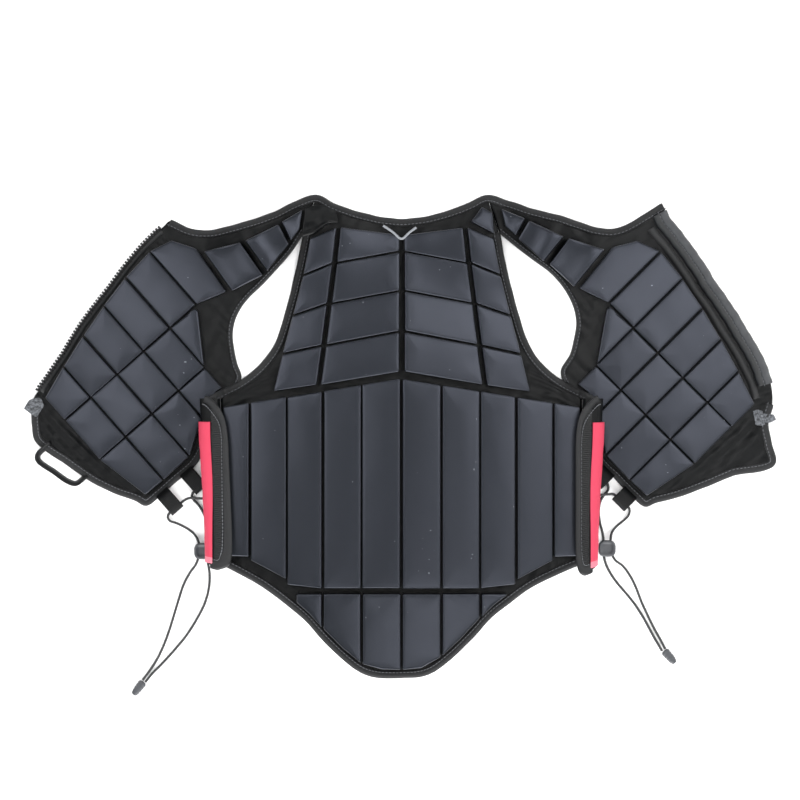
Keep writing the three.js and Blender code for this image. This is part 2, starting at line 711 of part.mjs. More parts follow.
/** Everything that a front covers, seen from above, with a clearance round it. */
function frontPrism(side) {
  const edges = frontEdges(side);
  const zip = offsetLine(edges.zip.slice(2), frontClearance * side.sign);
  const across = offsetLine(edges.side.slice(2), -frontClearance * side.sign);
  return prism([...zip, ...across.reverse()]);
}

function frontShell(side) {
  const edges = frontEdges(side);
  const columns = 6;
  const level = (i, j, lift) => {
    const share = j / (columns - 1);
    const [a, b] = [edges.zip[i], edges.side[i]];
    const [x, y] = [a[0] + share * (b[0] - a[0]), a[1] + share * (b[1] - a[1])];
    return new THREE.Vector3(x, y, frontHeight(x, y) + lift);
  };
  const rows = edges.zip.length;
  return sheet(rows, columns, (i, j) => level(i, j, shellWall), (i, j) => level(i, j, 0));
}

// Levels of a foam ring: lift of its upper corners and of its crown
const foamLevels = {
  floor: { base: 0, corner: grooveFloor, crown: grooveFloor },
  edge: { base: foamThickness, corner: -edgeRound, crown: -edgeRound },
  crown: { base: foamThickness, corner: -edgeRound, crown: 0 },
};

/**
 * A strip of foam blocks scored into one piece. Each block is a list of lines across the
 * strip, each line a pair of points; height gives the underside at a place.
 */
function padStrip(blocks, height, gap = blockGap) {
  const rings = [];
  const lerp = (a, b, share) => [a[0] + share * (b[0] - a[0]), a[1] + share * (b[1] - a[1])];
  const distance = (a, b) => Math.hypot(a[0] - b[0], a[1] - b[1]);
  const ring = ([from, to], level) => {
    const width = distance(from, to);
    const near = Math.min(0.3, gap / 2 / width);
    const soft = Math.min(0.42, (gap / 2 + edgeRound) / width);
    const point = (share, lift) => {
      const [x, y] = lerp(from, to, share);
      return new THREE.Vector3(x, y, seatOn(height(x, y)) + lift);
    };
    const { base, corner, crown } = foamLevels[level];
    rings.push([
      point(near, 0),
      point(near, base + corner),
      point(soft, base + crown),
      point(1 - soft, base + crown),
      point(1 - near, base + corner),
      point(1 - near, 0),
    ]);
  };
  blocks.forEach((lines, number) => {
    const between = (i, offset) => {
      const [a, b] = [lines[i], lines[i + 1]];
      const length = Math.max(distance(a[0], b[0]), distance(a[1], b[1]));
      const share = offset >= 0 ? offset / length : 1 + offset / length;
      return [lerp(a[0], b[0], share), lerp(a[1], b[1], share)];
    };
    if (number > 0) ring(lines[0], "floor");
    ring(between(0, gap / 2), "edge");
    ring(between(0, gap / 2 + edgeRound), "crown");
    lines.slice(1, -1).forEach((line) => ring(line, "crown"));
    ring(between(lines.length - 2, -gap / 2 - edgeRound), "crown");
    ring(between(lines.length - 2, -gap / 2), "edge");
  });
  return bar(rings);
}

/** A tape laid along a line, on the shell; inwards is the side that it covers. */
function tape(line, heights, width, crown, inwards) {
  const edge = 0.7 * crown;
  return bar(
    line.map((point, i) => {
      const [nx, ny] = leftNormal(line, i);
      const at = (share, lift) => {
        const reach = width * share * inwards;
        const [x, y] = [point[0] + nx * reach, point[1] + ny * reach];
        return new THREE.Vector3(x, y, seatOn(heights(x, y)) + lift);
      };
      return [at(0, 0), at(0, edge), at(0.5, crown), at(1, edge), at(1, 0)];
    }),
  );
}

const mirrored = (side, points) => points.map(([x, y]) => [side.sign * x, y]);

/** Yoke, long and tail blocks of one side of the back. */
function addBackFoam(name, side) {
  const yoke = yokeRows.map((row, i) => {
    const seam = yokeColumns[i].seam * backHalf;
    return {
      spine: [yokeGap / 2 - blockGap / 2, row.spine * backLength],
      seamIn: [seam - yokeGap / 2 + blockGap / 2, row.seam * backLength],
      seamOut: [seam + yokeGap / 2 - blockGap / 2, row.seam * backLength],
      arm: [yokeColumns[i].arm * backHalf, row.arm * backLength],
    };
  });
  const pairs = (from, to) =>
    yoke.slice(0, -1).map((row, i) => [
      mirrored(side, [row[from], row[to]]),
      mirrored(side, [yoke[i + 1][from], yoke[i + 1][to]]),
    ]);
  addPiece(`yoke_inner_${name}`, padStrip(pairs("spine", "seamIn"), backSeat), "foam");
  const shoulder = [...shoulderRows].reverse().map((row) =>
    mirrored(side, [
      [row.inner * backHalf, row.innerUp * backLength],
      [row.outer * backHalf, row.outerUp * backLength],
    ]),
  );
  const outer = pairs("seamOut", "arm");
  addPiece(`yoke_outer_${name}`, padStrip([shoulder, ...outer], backSeat), "foam");

  const topAt = (out) => backLength * (longTop.spine - longTop.fall * out);
  longBlocks.forEach((block, i) => {
    const line = (out, foot) => mirrored(side, [
      [out * backHalf, topAt(out)],
      [out * backHalf, foot * backLength],
    ]);
    const lines = [line(block.inner, block.innerFoot), line(block.outer, block.outerFoot)];
    addPiece(`long_block_${name}_${i + 1}`, padStrip([lines], backSeat), "foam");
  });

  longBlocks.slice(0, 3).forEach((block, i) => {
    const lines = tailShares[i].map((share) => {
      const x = side.sign * (block.inner + share * (block.outer - block.inner)) * backHalf;
      const slope = (hemHeight(x + hemReach) - hemHeight(x - hemReach)) / (2 * hemReach);
      const foot = hemHeight(x) + (bindingWidth + edgeClear) * Math.hypot(1, slope);
      return [[x, tailTop * backLength], [x, foot]];
    });
    addPiece(`tail_block_${name}_${i + 1}`, padStrip([lines], backSeat), "foam");
  });
}

/** Scored columns and strap pads of one front. */
function addFrontFoam(name, side, keepClear) {
  const at = (along, across) => frontPoint(side, along * frontLength, across * frontWidth);
  const wedge = (along) => -(zipColumn(along * frontLength) + side.wedge) / frontWidth;
  const blocks = (from, to, first = 0) =>
    frontRows.slice(first, -1).map((along, i) => {
      const next = frontRows[first + i + 1];
      return [
        [at(along, from(along)), at(along, to(along))],
        [at(next, from(next)), at(next, to(next))],
      ];
    });

  const edge = frontEdges(side).side.slice(0, lineRow(armholeRow));
  const armhole = edge.map((point) => frontFrame(side, point));
  const besideArmhole = (along, across) => {
    const limit = readTable(armhole, "along", along * frontLength, "across");
    return Math.min(across, (limit - armTapeWidth - armTapeClear) / frontWidth);
  };

  const top = [
    ...topBlock.map((row) => [at(row.along, row.across), at(row.armAlong, row.armAcross)]),
    [at(frontRows[0], wedge(frontRows[0])), at(frontRows[0], 0)],
  ];
  const first = padStrip([top, ...blocks(wedge, () => 0)], frontSeat);
  addPiece(`front_column_${name}_1`, first, "foam");

  const corner = [
    [at(cornerBlock.along, cornerBlock.from), at(cornerBlock.along, cornerBlock.to)],
    [at(frontRows[1], 0), at(frontRows[1], middleColumn)],
  ];
  const second = padStrip([corner, ...blocks(() => 0, () => middleColumn, 1)], frontSeat);
  addPiece(`front_column_${name}_2`, second, "foam");

  const sideAt = (along) =>
    readTable(frontSections.slice(armholeRow), "sideAlong", along, "sideAcross") -
    (bindingWidth + edgeClear) / frontWidth;
  const outer = blocks(() => middleColumn, sideAt, 1);
  outer.at(-1)[1][1] = at(outerFoot, sideAt(outerFoot));
  const third = toSolid(padStrip(outer, frontSeat)).subtract(keepClear);
  addPiece(`front_column_${name}_3`, fromSolid(third), "foam");

  const straps = strapRows.map((block) =>
    block.map((row) => [
      at(row.zipAlong, row.zipAcross),
      at(row.sideAlong, besideArmhole(row.sideAlong, row.sideAcross)),
    ]),
  );
  addPiece(`strap_pad_${name}`, padStrip(straps.reverse(), frontSeat), "foam");
}

/** Tape along the neckline, from one front's zip to the other's, over both shoulders. */
function neckBinding() {
  const frontNeck = (side) => frontEdges(side).zip.slice(1, lineRow(cornerRow) + 1).reverse();
  const across = Array.from({ length: 11 }, (_, i) => i / 5 - 1);
  const back = across.map((share) => backSectionPoint(backSections[0], shoulderTop, share));
  const line = [...frontNeck(sides.left), ...back, ...frontNeck(sides.right).reverse()];
  const height = (x, y) => (Math.abs(x) > shoulderHalf ? frontSeat(x, y) : backSeat(x, y));
  return tape(line, height, bindingWidth, bindingHeight, -1);
}

/** Tape round an armhole: up the back's edge, round the shoulder, down the front's. */
function armholeBinding(side, keepClear) {
  const back = mirrored(side, backEdge.slice(1)).reverse();
  const front = frontEdges(side).side.slice(0, lineRow(armholeRow) + 1);
  const inwards = side.sign;
  const upper = tape(back, backSeat, bindingWidth, bindingHeight, inwards);
  const lower = tape(front, frontSeat, armTapeWidth, bindingHeight, inwards);
  return { upper, lower: fromSolid(toSolid(lower).subtract(keepClear)) };
}

function hemBinding() {
  const half = hemSections.slice(1).map((row) => row.out * backHalf);
  const line = [...half.map((x) => -x).reverse(), 0, ...half].map((x) => [x, hemHeight(x)]);
  return tape(line, backSeat, bindingWidth, bindingHeight, 1);
}

/** Tape along a front's side edge and hem, round its lower corner to the zip. */
function frontHemBinding(side, keepClear) {
  const edges = frontEdges(side);
  const down = edges.side.slice(lineRow(sideRow));
  const line = [...down, ...edges.zip.slice(-4).reverse()];
  const solid = tape(line, frontSeat, bindingWidth, bindingHeight, side.sign);
  return fromSolid(toSolid(solid).subtract(keepClear));
}

const flapCurve = new THREE.CatmullRomCurve3(
  flapSection.map(
    (row) =>
      new THREE.Vector3(
        backHalf + row.out * flapReach,
        0,
        row.foam * foamTop + row.curl * flapCurl + flapWall / 2,
      ),
  ),
  false,
  "centripetal",
);

/** A place on the flap: around its section, down its length, out from its middle. */
function flapPoint(side, around, down, lift) {
  const at = clamp01(around);
  const point = flapCurve.getPoint(at);
  const beyond = (point.x - backHalf) / flapReach;
  const lost = flapReach * flapTaper * clamp01(beyond) + side.flapLean * clamp01(-beyond * 4);
  const slope = flapCurve.getTangent(at);
  const top = flapTop * backLength;
  const foot = (flapFoot - side.footDrop * at) * backLength;
  return new THREE.Vector3(
    side.sign * (point.x - lost * smoothStep(down) + slope.z * lift),
    top + down * (foot - top),
    point.z - slope.x * lift,
  );
}

/** A sheet wrapped round the flap's section, between two lifts from its middle. */
function flapSheet(side, { from, to, top, foot, low, high, rows, columns }) {
  const place = (i, j, lift) => {
    const down = top + (i / (rows - 1)) * (foot - top);
    const reach = to * readTable(flapEnds, "down", down, "around");
    return flapPoint(side, from + (j / (columns - 1)) * (reach - from), down, lift);
  };
  return sheet(rows, columns, (i, j) => place(i, j, high), (i, j) => place(i, j, low));
}

function addFlap(name, side) {
  const wall = { low: -flapWall / 2, high: flapWall / 2 };
  const whole = { from: 0, to: 1, top: 0, foot: 1, rows: 10, columns: 12, ...wall };
  addPiece(`side_flap_${name}`, flapSheet(side, whole), "cloth");
  const seat = flapWall / 2 + 3 * seatGap;
  const skin = { ...redStrip, rows: 8, columns: 4, low: seat, high: seat + trimWall };
  addPiece(`red_strip_${name}`, flapSheet(side, skin), "red");
}

/** A line that runs down a front's zip edge, proud of its cloth by a distance. */
function alongZip(side, proud, { from, to }) {
  return Array.from({ length: zipSteps + 1 }, (_, i) => {
    const share = from + (i / zipSteps) * (to - from);
    const along = share * frontLength;
    return frontPoint(side, along, -zipColumn(along) - zipMargin(side, share) - proud);
  });
}

function addZips() {
  const leftLine = alongZip(sides.left, teethWidth, zipRange);
  const leftTape = bar(
    leftLine.map((point, i) => {
      const [nx, ny] = leftNormal(leftLine, i);
      const at = (reach, lift) => {
        const [x, y] = [point[0] + nx * reach, point[1] + ny * reach];
        return new THREE.Vector3(x, y, seatOn(frontHeight(x, y)) + lift);
      };
      return [
        at(0, 0), at(0, teethHeight), at(teethWidth, teethHeight), at(teethWidth * 1.2, tapeHeight),
        at(tapeWidth, tapeHeight), at(tapeWidth, 0),
      ];
    }),
  );
  addPiece("zip_tape_left", leftTape, "tape");
  const rightLine = alongZip(sides.right, stormProud - stormWidth - zipLap, zipRange);
  const rightTape = tape(rightLine, frontHeight, tapeWidth, tapeHeight, -1);
  addPiece("zip_tape_right", rightTape, "tape");
  const stormLine = alongZip(sides.right, stormProud, stormRange);
  const storm = tape(stormLine, frontHeight, stormWidth, stormHeight, -1);
  addPiece("storm_flap_right", storm, "grey");
}

/** A flat webbing belt loop on a front's side edge, clear of the front and the back. */
function lacingTab(side, share, keepClear) {
  const section = [
    [0, 0], [0.75, 0], [0.92, 0.12], [1, 0.5], [0.92, 0.88], [0.75, 1], [0, 1],
  ];
  const bend = 2; // first point of the rounded end
  const height = cordDiameter + 2 * tabWall + 2 * lockBoreGap + seatGap;
  const root = frontWidth - bindingWidth / 2;
  const place = (i, j, inside) => {
    const [out, up] = section[j];
    const rounded = j >= bend && j < section.length - bend;
    const reach = out * (side.tabReach + bindingWidth / 2);
    const across = root + reach - (inside && rounded ? tabWall : 0);
    const along = share * frontLength + (i - 0.5) * side.tabLength;
    const [x, y] = frontPoint(side, along, across);
    const tall = inside ? height - 2 * tabWall : height;
    return new THREE.Vector3(x, y, seatGap + height / 2 + (up - 0.5) * tall);
  };
  const loop = sheet(2, section.length, (i, j) => place(i, j, false), (i, j) => place(i, j, true));
  return fromSolid(keepClear.reduce((solid, prism) => solid.subtract(prism), toSolid(loop)));
}

/** Webbing loop at the left front's hem: a flat band that goes out, along and back. */
function webbingLoop() {
  const side = sides.left;
  const hem = (across) => {
    const rows = [...frontSections.slice(sideRow)].reverse();
    const along = readTable(rows, "sideAcross", across, "sideAlong");
    return [along * frontLength, across * frontWidth];
  };
  const [a, b] = [hem(webbingPlace.from), hem(webbingPlace.to)];
  const line = smoothLine(
    webbingBend.map(({ share, out }) => [
      a[0] + share * (b[0] - a[0]) + out * webbingReach,
      a[1] + share * (b[1] - a[1]),
    ]),
  ).map(([along, across]) => frontPoint(side, along, across));
  const band = bar(
    line.map((point, i) => {
      const [nx, ny] = leftNormal(line, i);
      const at = (reach, z) => new THREE.Vector3(point[0] + nx * reach, point[1] + ny * reach, z);
      const half = webbingWall / 2;
      const [foot, head] = [seatGap, seatGap + webbingWidth];
      return [at(-half, foot), at(-half, head), at(half, head), at(half, foot)];
    }),
  );
  return fromSolid(toSolid(band).subtract(frontPrism(side)));
}

/** Small V of cord on the inside of the neck. */
function neckLoop() {
  const line = smoothLine(neckLoopPoints.map(({ out, up }) => [out * backHalf, up * backLength]));
  return bar(
    line.map((point, i) => {
      const [nx, ny] = leftNormal(line, i);
      const half = neckLoopWidth / 2;
      const at = (reach, z) => new THREE.Vector3(point[0] + nx * reach, point[1] + ny * reach, z);
      const base = seatOn(backSeat(...point)) + foamThickness + seatGap;
      const top = base + neckLoopWall;
      return [at(-half, base), at(-half, top), at(half, top), at(half, base)];
    }),
  );
}

const cordSection = new THREE.Shape(
  Array.from({ length: cordSides }, (_, i) => {
    const angle = ((i + 0.5) / cordSides) * 2 * Math.PI;
    return new THREE.Vector2(Math.cos(angle), Math.sin(angle)).multiplyScalar(cordDiameter / 2);
  }),
);

function cordCurve(route) {
  const points = route.map(([x, y, z]) => new THREE.Vector3(x, y, z));
  return new THREE.CatmullRomCurve3(points, false, "centripetal");
}

function cordTube(route) {
  const path = cordCurve(route);
  const steps = Math.min(80, Math.round(path.getLength() / cordStep));
  return new THREE.ExtrudeGeometry(cordSection, { extrudePath: path, steps, bevelEnabled: false });
}

/** An upright solid with a rounded plan, narrower at its top and foot. */
function roundedBlock(width, depth, height, levels, corners = 12) {
  const ring = ({ up, size }) =>
    Array.from({ length: corners }, (_, i) => {
      const angle = ((i + 0.5) / corners) * 2 * Math.PI;
      const [c, s] = [Math.cos(angle), Math.sin(angle)];
      const bulge = (value) => Math.sign(value) * Math.abs(value) ** blockSquareness;
      return new THREE.Vector3(
        (bulge(c) * width * size) / 2,
        (bulge(s) * depth * size) / 2,
        up * height,
      );
    });
  return bar(levels.map(ring));
}

function cordLock(name) {
  const [x, y] = lockPlaces[name];
  const body = roundedBlock(lockWidth, lockDepth, lockHeight, lockLevels);
  body.translate(x, y, floorGap);
  const radius = cordDiameter / 2;
  const wide = cordSection
    .getPoints()
    .map((point) => point.clone().multiplyScalar((radius + lockBoreGap) / radius));
  let solid = toSolid(body);
  for (const strand of ["outer", "inner"]) {
    const route = cordCurve(cordRoutes[`${name}_cord_${strand}`]).getSpacedPoints(80);
    const near = route.filter((point) => Math.abs(point.y - y) < lockDepth * lockBoreReach);
    const bore = new THREE.ExtrudeGeometry(new THREE.Shape(wide), {
      extrudePath: new THREE.CatmullRomCurve3(near, false, "centripetal"),
      steps: 5,
      bevelEnabled: false,
    });
    solid = solid.subtract(toSolid(bore));
  }
  return fromSolid(solid);
}

function cordEnd(name) {
  const { at, heading } = endPlaces[name];
  const [hx, hy] = heading;
  const rings = endRings.map(({ along, wide, low, high }) => {
    const [x, y] = [at[0] + hx * along * endLength, at[1] + hy * along * endLength];
    const corner = (share, up) => {
      const reach = share * endWidth * wide;
      return new THREE.Vector3(x - hy * reach, y + hx * reach, floorGap + up * endHeight);
    };
    const middle = (low + high) / 2;
    return [
      corner(-0.5, middle - 0.2), corner(-0.5, middle + 0.2),
      corner(-0.3, high), corner(0.3, high),
      corner(0.5, middle + 0.2), corner(0.5, middle - 0.2),
      corner(0.3, low), corner(-0.3, low),
    ];
  });
  return bar(rings);
}

function buildSide(name, side) {
  const keepClear = backPrism(side);
  const front = frontPrism(side);
  const shell = toSolid(frontShell(side)).subtract(keepClear);
  addPiece(`front_shell_${name}`, fromSolid(shell), "cloth");
  addBackFoam(name, side);
  addFrontFoam(name, side, keepClear);
  const armhole = armholeBinding(side, keepClear);
  addPiece(`armhole_binding_back_${name}`, armhole.upper, "tape");
  addPiece(`armhole_binding_front_${name}`, armhole.lower, "tape");
  addPiece(`front_hem_binding_${name}`, frontHemBinding(side, keepClear), "tape");
  addFlap(name, side);
  tabPlaces.forEach((share, i) => {
    addPiece(`lacing_tab_${name}_${i + 1}`, lacingTab(side, share, [front, keepClear]), "tape");
  });
  addPiece(`cord_lock_${name}`, cordLock(name), "plastic");
  addPiece(`cord_end_${name}`, cordEnd(name), "plastic");
  for (const strand of ["outer", "inner"]) {
    addPiece(`${name}_cord_${strand}`, cordTube(cordRoutes[`${name}_cord_${strand}`]), "tape");
  }
}

addPiece("back_shell", backShell(), "cloth");
addPiece("neck_binding", neckBinding(), "tape");
addPiece("hem_binding", hemBinding(), "tape");
addPiece("webbing_loop", webbingLoop(), "tape");
addPiece("neck_loop", neckLoop(), "grey");
addZips();
for (const [name, side] of Object.entries(sides)) buildSide(name, side);

export default group;
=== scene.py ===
# %% [markdown]
# # An equestrian body protector, laid open
# This riding vest lies unzipped on the floor with its padded inside up. The solids that
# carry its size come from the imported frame; here each of them gets the look of foam,
# nylon, woven tape, elastic cord or moulded plastic. Sizes in the tables are millimetres
# or shares of the named sizes, and turn into metres where a mesh or a cord is made. The
# camera, the lights and the grain of the finishes are in metres.

import bmesh
import bpy
import numpy as np
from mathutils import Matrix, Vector


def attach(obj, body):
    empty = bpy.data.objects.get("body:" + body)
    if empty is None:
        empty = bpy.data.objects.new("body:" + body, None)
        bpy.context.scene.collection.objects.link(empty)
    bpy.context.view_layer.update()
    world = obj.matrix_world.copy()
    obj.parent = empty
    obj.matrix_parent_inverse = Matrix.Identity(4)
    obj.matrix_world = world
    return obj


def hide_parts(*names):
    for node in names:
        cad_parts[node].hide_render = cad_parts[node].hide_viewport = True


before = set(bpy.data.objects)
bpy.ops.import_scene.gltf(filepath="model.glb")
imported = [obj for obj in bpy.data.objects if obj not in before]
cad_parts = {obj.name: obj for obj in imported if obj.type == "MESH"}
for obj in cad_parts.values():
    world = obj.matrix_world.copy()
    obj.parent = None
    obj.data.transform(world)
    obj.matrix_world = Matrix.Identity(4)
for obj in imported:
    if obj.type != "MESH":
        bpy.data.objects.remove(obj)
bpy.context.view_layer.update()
MM = 0.001
print("frame nodes:", len(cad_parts))

# %% [markdown]
# ## Camera
# The vest was seen from straight above. A long lens far away keeps the blocks' sides
# out of sight, as in the original view. The frame is 920 mm wide at the foam's top.

# %% Camera
FRAME_WIDTH = 0.92
FRAME_CENTRE = (-0.0017, 0.0426)
CAMERA_HEIGHT = 7.0
FOAM_LEVEL = 0.02
SENSOR = 36.0


def add_camera():
    """Points a camera straight down; lens = sensor x distance / width of the frame."""
    data = bpy.data.cameras.new("camera")
    data.sensor_width = SENSOR
    data.lens = SENSOR * (CAMERA_HEIGHT - FOAM_LEVEL) / FRAME_WIDTH
    camera = bpy.data.objects.new("camera", data)
    camera.location = (*FRAME_CENTRE, CAMERA_HEIGHT)
    bpy.context.scene.collection.objects.link(camera)
    bpy.context.scene.camera = camera
    return data.lens


print("lens:", round(add_camera(), 1), "mm")

# %% [markdown]
# ## Smooth lines
# Outlines, cord routes and sections are short tables. Blender's own curve objects could
# draw them, but a formula gives points that can be measured and used again. A centripetal
# Catmull-Rom curve passes through every row and doesn't loop between rows that lie close
# together. The noise and the folds of the cloth are sums of sines, so that a seed always
# gives the same surface.


# %% Smooth lines and noise
def catmull(points, places):
    """Curve through the rows at places 0 to n-1: a cubic per interval whose end slopes
    come from the neighbours, with intervals weighted by the square root of distance."""
    p = np.asarray(points, float)
    p = np.vstack([2 * p[0] - p[1], p, 2 * p[-1] - p[-2]])
    s = np.clip(np.asarray(places, float), 0, len(p) - 3 - 1e-9)
    i = s.astype(int)
    t = (s - i)[..., None]
    p0, p1, p2, p3 = p[i], p[i + 1], p[i + 2], p[i + 3]
    d0, d1, d2 = (
        np.maximum(np.linalg.norm(b - a, axis=-1, keepdims=True), 1e-9) ** 0.5
        for a, b in ((p0, p1), (p1, p2), (p2, p3))
    )
    m1 = ((p1 - p0) / d0 - (p2 - p0) / (d0 + d1) + (p2 - p1) / d1) * d1
    m2 = ((p2 - p1) / d1 - (p3 - p1) / (d1 + d2) + (p3 - p2) / d2) * d1
    c2 = 3 * (p2 - p1) - 2 * m1 - m2
    c3 = 2 * (p1 - p2) + m1 + m2
    return p1 + t * (m1 + t * (c2 + t * c3))


def spaced(points, step):
    """The same curve cut into equal steps: its length is summed finely, then inverted."""
    fine = catmull(points, np.linspace(0, len(points) - 1, 60 * len(points)))
    run = np.r_[0, np.cumsum(np.linalg.norm(np.diff(fine, axis=0), axis=1))]
    count = max(4, int(round(run[-1] / step)) + 1)
    at = np.linspace(0, run[-1], count)
    return np.stack([np.interp(at, run, axis) for axis in fine.T], axis=1)


def smooth_step(value):
    """3t^2 - 2t^3, with t held between 0 and 1."""
    t = np.clip(value, 0, 1)
    return t * t * (3 - 2 * t)


def waves(x, y, size, seed, count=6):
    """Smooth noise between -1 and 1: the mean of sines in seeded directions whose
    lengths lie around size, each with its own phase."""
    rng = np.random.default_rng(seed)
    angle = rng.uniform(0, np.pi, count)
    rate = 2 * np.pi / (size * rng.uniform(0.6, 1.6, count))
    phase = rng.uniform(0, 2 * np.pi, count)
    total = sum(
        np.sin((x * np.cos(a) + y * np.sin(a)) * r + f) for a, r, f in zip(angle, rate, phase)
    )
    return total / count * 1.6


def folds(across, along, pitch, seed):
    """Sharp cloth folds: ridges 1 - |sin| that repeat every pitch across, bent and
    faded by slow noise along, between 0 and 1."""
    bent = across + pitch * 0.7 * waves(across, along * 0.4, pitch * 6, seed)
    ridge = 1 - np.abs(np.sin(np.pi * bent / pitch))
    fade = 0.55 + 0.45 * waves(across, along * 0.5, pitch * 5, seed + 1)
    return np.clip(ridge**1.3 * fade, 0, 1)


def soft_folds(across, along, pitch, seed):
    """Broad rounded folds: (1 + cos) / 2 of the bent distance across, faded by slow
    noise, between 0 and 1."""
    bent = across + pitch * 0.5 * waves(across, along * 0.5, pitch * 4, seed)
    fade = 0.6 + 0.4 * waves(across, along, pitch * 4, seed + 1)
    return np.clip((0.5 + 0.5 * np.cos(2 * np.pi * bent / pitch)) * fade, 0, 1)


# %% [markdown]
# ## From arrays to meshes
# Every new surface is a grid of points. Modifiers on cubes and planes could make most of
# them, but a grid can follow the frame's own tables exactly. One helper turns points and
# quads into a mesh and welds the seams and poles. Another ties the piece to the frame:
# what it rides on and which solid it stands for.


# %% Mesh helpers
def grid_quads(rows, columns, wrap=False):
    """Quads between neighbouring points of a row-major grid; wrap joins the last
    column to the first."""
    index = np.arange(rows * columns).reshape(rows, columns)
    if wrap:
        index = np.hstack([index, index[:, :1]])
    return np.stack([index[:-1, :-1], index[1:, :-1], index[1:, 1:], index[:-1, 1:]], -1).reshape(
        -1, 4
    )


def join(parts):
    """Stacks (points, quads) pairs into one pair."""
    offset = np.cumsum([0] + [len(points) for points, _ in parts[:-1]])
    points = np.vstack([points for points, _ in parts])
    quads = np.vstack([quads + shift for (_, quads), shift in zip(parts, offset)])
    return points, quads


def make_mesh(name, points, quads, materials, kinds=None, uv=None):
    """Fills a mesh with foreach_set, welds doubles and turns all faces outwards."""
    mesh = bpy.data.meshes.new(name)
    mesh.vertices.add(len(points))
    mesh.vertices.foreach_set("co", (np.asarray(points) * MM).astype(np.float32).ravel())
    mesh.loops.add(quads.size)
    mesh.loops.foreach_set("vertex_index", quads.astype(np.int32).ravel())
    mesh.polygons.add(len(quads))
    mesh.polygons.foreach_set("loop_start", np.arange(0, quads.size, 4, dtype=np.int32))
    mesh.polygons.foreach_set("loop_total", np.full(len(quads), 4, np.int32))
    if kinds is not None:
        mesh.polygons.foreach_set("material_index", kinds.astype(np.int32))
    if uv is not None:
        layer = mesh.uv_layers.new(name="cloth")
        layer.data.foreach_set("uv", (uv[quads.ravel()] * MM).astype(np.float32).ravel())
    mesh.update(calc_edges=True)
    mesh.validate()
    for material in materials:
        mesh.materials.append(material)
    piece = bpy.data.objects.new(name, mesh)
    bpy.context.scene.collection.objects.link(piece)
    weld(mesh)
    return piece


def weld(mesh):
    """Merges points closer than a hundredth of a millimetre, drops what collapses and
    makes the normals point outwards."""
    work = bmesh.new()
    work.from_mesh(mesh)
    bmesh.ops.remove_doubles(work, verts=work.verts, dist=0.01 * MM)
    bmesh.ops.dissolve_degenerate(work, edges=work.edges, dist=1e-7)
    bmesh.ops.recalc_face_normals(work, faces=work.faces)
    work.to_mesh(mesh)
    work.free()
    mesh.polygons.foreach_set("use_smooth", np.ones(len(mesh.polygons), bool))


def place(piece, slot, *stands_for):
    """Rides the piece on the body and names the solids it replaces; slot is not used."""
    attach(piece, "root")
    if stands_for:
        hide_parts(*stands_for)
    return piece


# %% [markdown]
# ### Walls, sweeps and tubes
# Cloth is a wall between two grids, and a tape is a section carried along a path. A
# solidify modifier and a curve's bevel could do the same, but here the folds can lie in
# one face only, and a section can follow the height of the cloth below it.


# %% Walls, sweeps and tubes
def closed_sheet(top, bottom):
    """A wall between two grids of the same shape: the top, the turned bottom, and a
    strip round the rim between their border points."""
    rows, columns = top.shape[:2]
    points = np.vstack([top.reshape(-1, 3), bottom.reshape(-1, 3)])
    quads = grid_quads(rows, columns)
    index = np.arange(rows * columns).reshape(rows, columns)
    ring = np.r_[index[0], index[1:, -1], index[-1, -2::-1], index[-2:0:-1, 0]]
    after = np.roll(ring, -1)
    size = rows * columns
    rim = np.stack([ring, after, after + size, ring + size], -1)
    return points, np.vstack([quads, quads[:, ::-1] + size, rim])


def path_frames(path):
    """Unit tangent and unit left normal in the plane at each point of a path."""
    tangent = np.gradient(path[:, :2], axis=0)
    tangent /= np.linalg.norm(tangent, axis=1, keepdims=True)
    return tangent, np.stack([-tangent[:, 1], tangent[:, 0]], -1)


def sweep(path, profile, height, sway=0.0, seed=0):
    """Carries a closed profile of (inwards, up) pairs along a path: each point is the
    path's point plus its left normal times inwards, at the ground height there plus up.
    sway moves whole sections sideways by slow noise. Both ends are capped."""
    _, left = path_frames(path)
    steps = np.arange(len(path))
    drift = sway * waves(steps * 3.0, steps * 0.0, 45, seed)
    base = path[:, :2] + left * drift[:, None]
    inwards, up = np.asarray(profile, float).T
    xy = base[:, None] + left[:, None] * inwards[None, :, None]
    z = height(xy[..., 0], xy[..., 1]) + up
    rings = np.concatenate([xy, z[..., None]], -1)
    return capped(rings)


def capped(rings):
    """Joins rings into a tube and closes each end with a ring shrunk to its centre."""
    first = np.broadcast_to(rings[:1].mean(1, keepdims=True), rings[:1].shape)
    last = np.broadcast_to(rings[-1:].mean(1, keepdims=True), rings[-1:].shape)
    full = np.concatenate([first, rings, last])
    return full.reshape(-1, 3), grid_quads(*full.shape[:2], wrap=True)


def repeated_tubes(rings):
    """Many equal tubes at once, from an array of (tube, ring, corner) points: each end is
    closed with a ring shrunk to its centre, and one tube's quads are shifted for all."""
    ends = np.broadcast_to(rings.mean(2, keepdims=True), rings.shape)
    full = np.concatenate([ends[:, :1], rings, ends[:, -1:]], 1)
    count, rows, corners = full.shape[:3]
    shifts = (np.arange(count) * rows * corners)[:, None, None]
    quads = grid_quads(rows, corners, wrap=True)[None] + shifts
    return full.reshape(-1, 3), quads.reshape(-1, 4)


# %% [markdown]
# ## Finishes
# The garment is almost all dark, so its finishes differ by gloss and grain more than by
# colour: smooth foam skin, nylon with soft lights, dull woven tape. Each finish is
# procedural, reads the piece's own object coordinates or UV map, and keeps its constant
# values on the shader's own sockets.


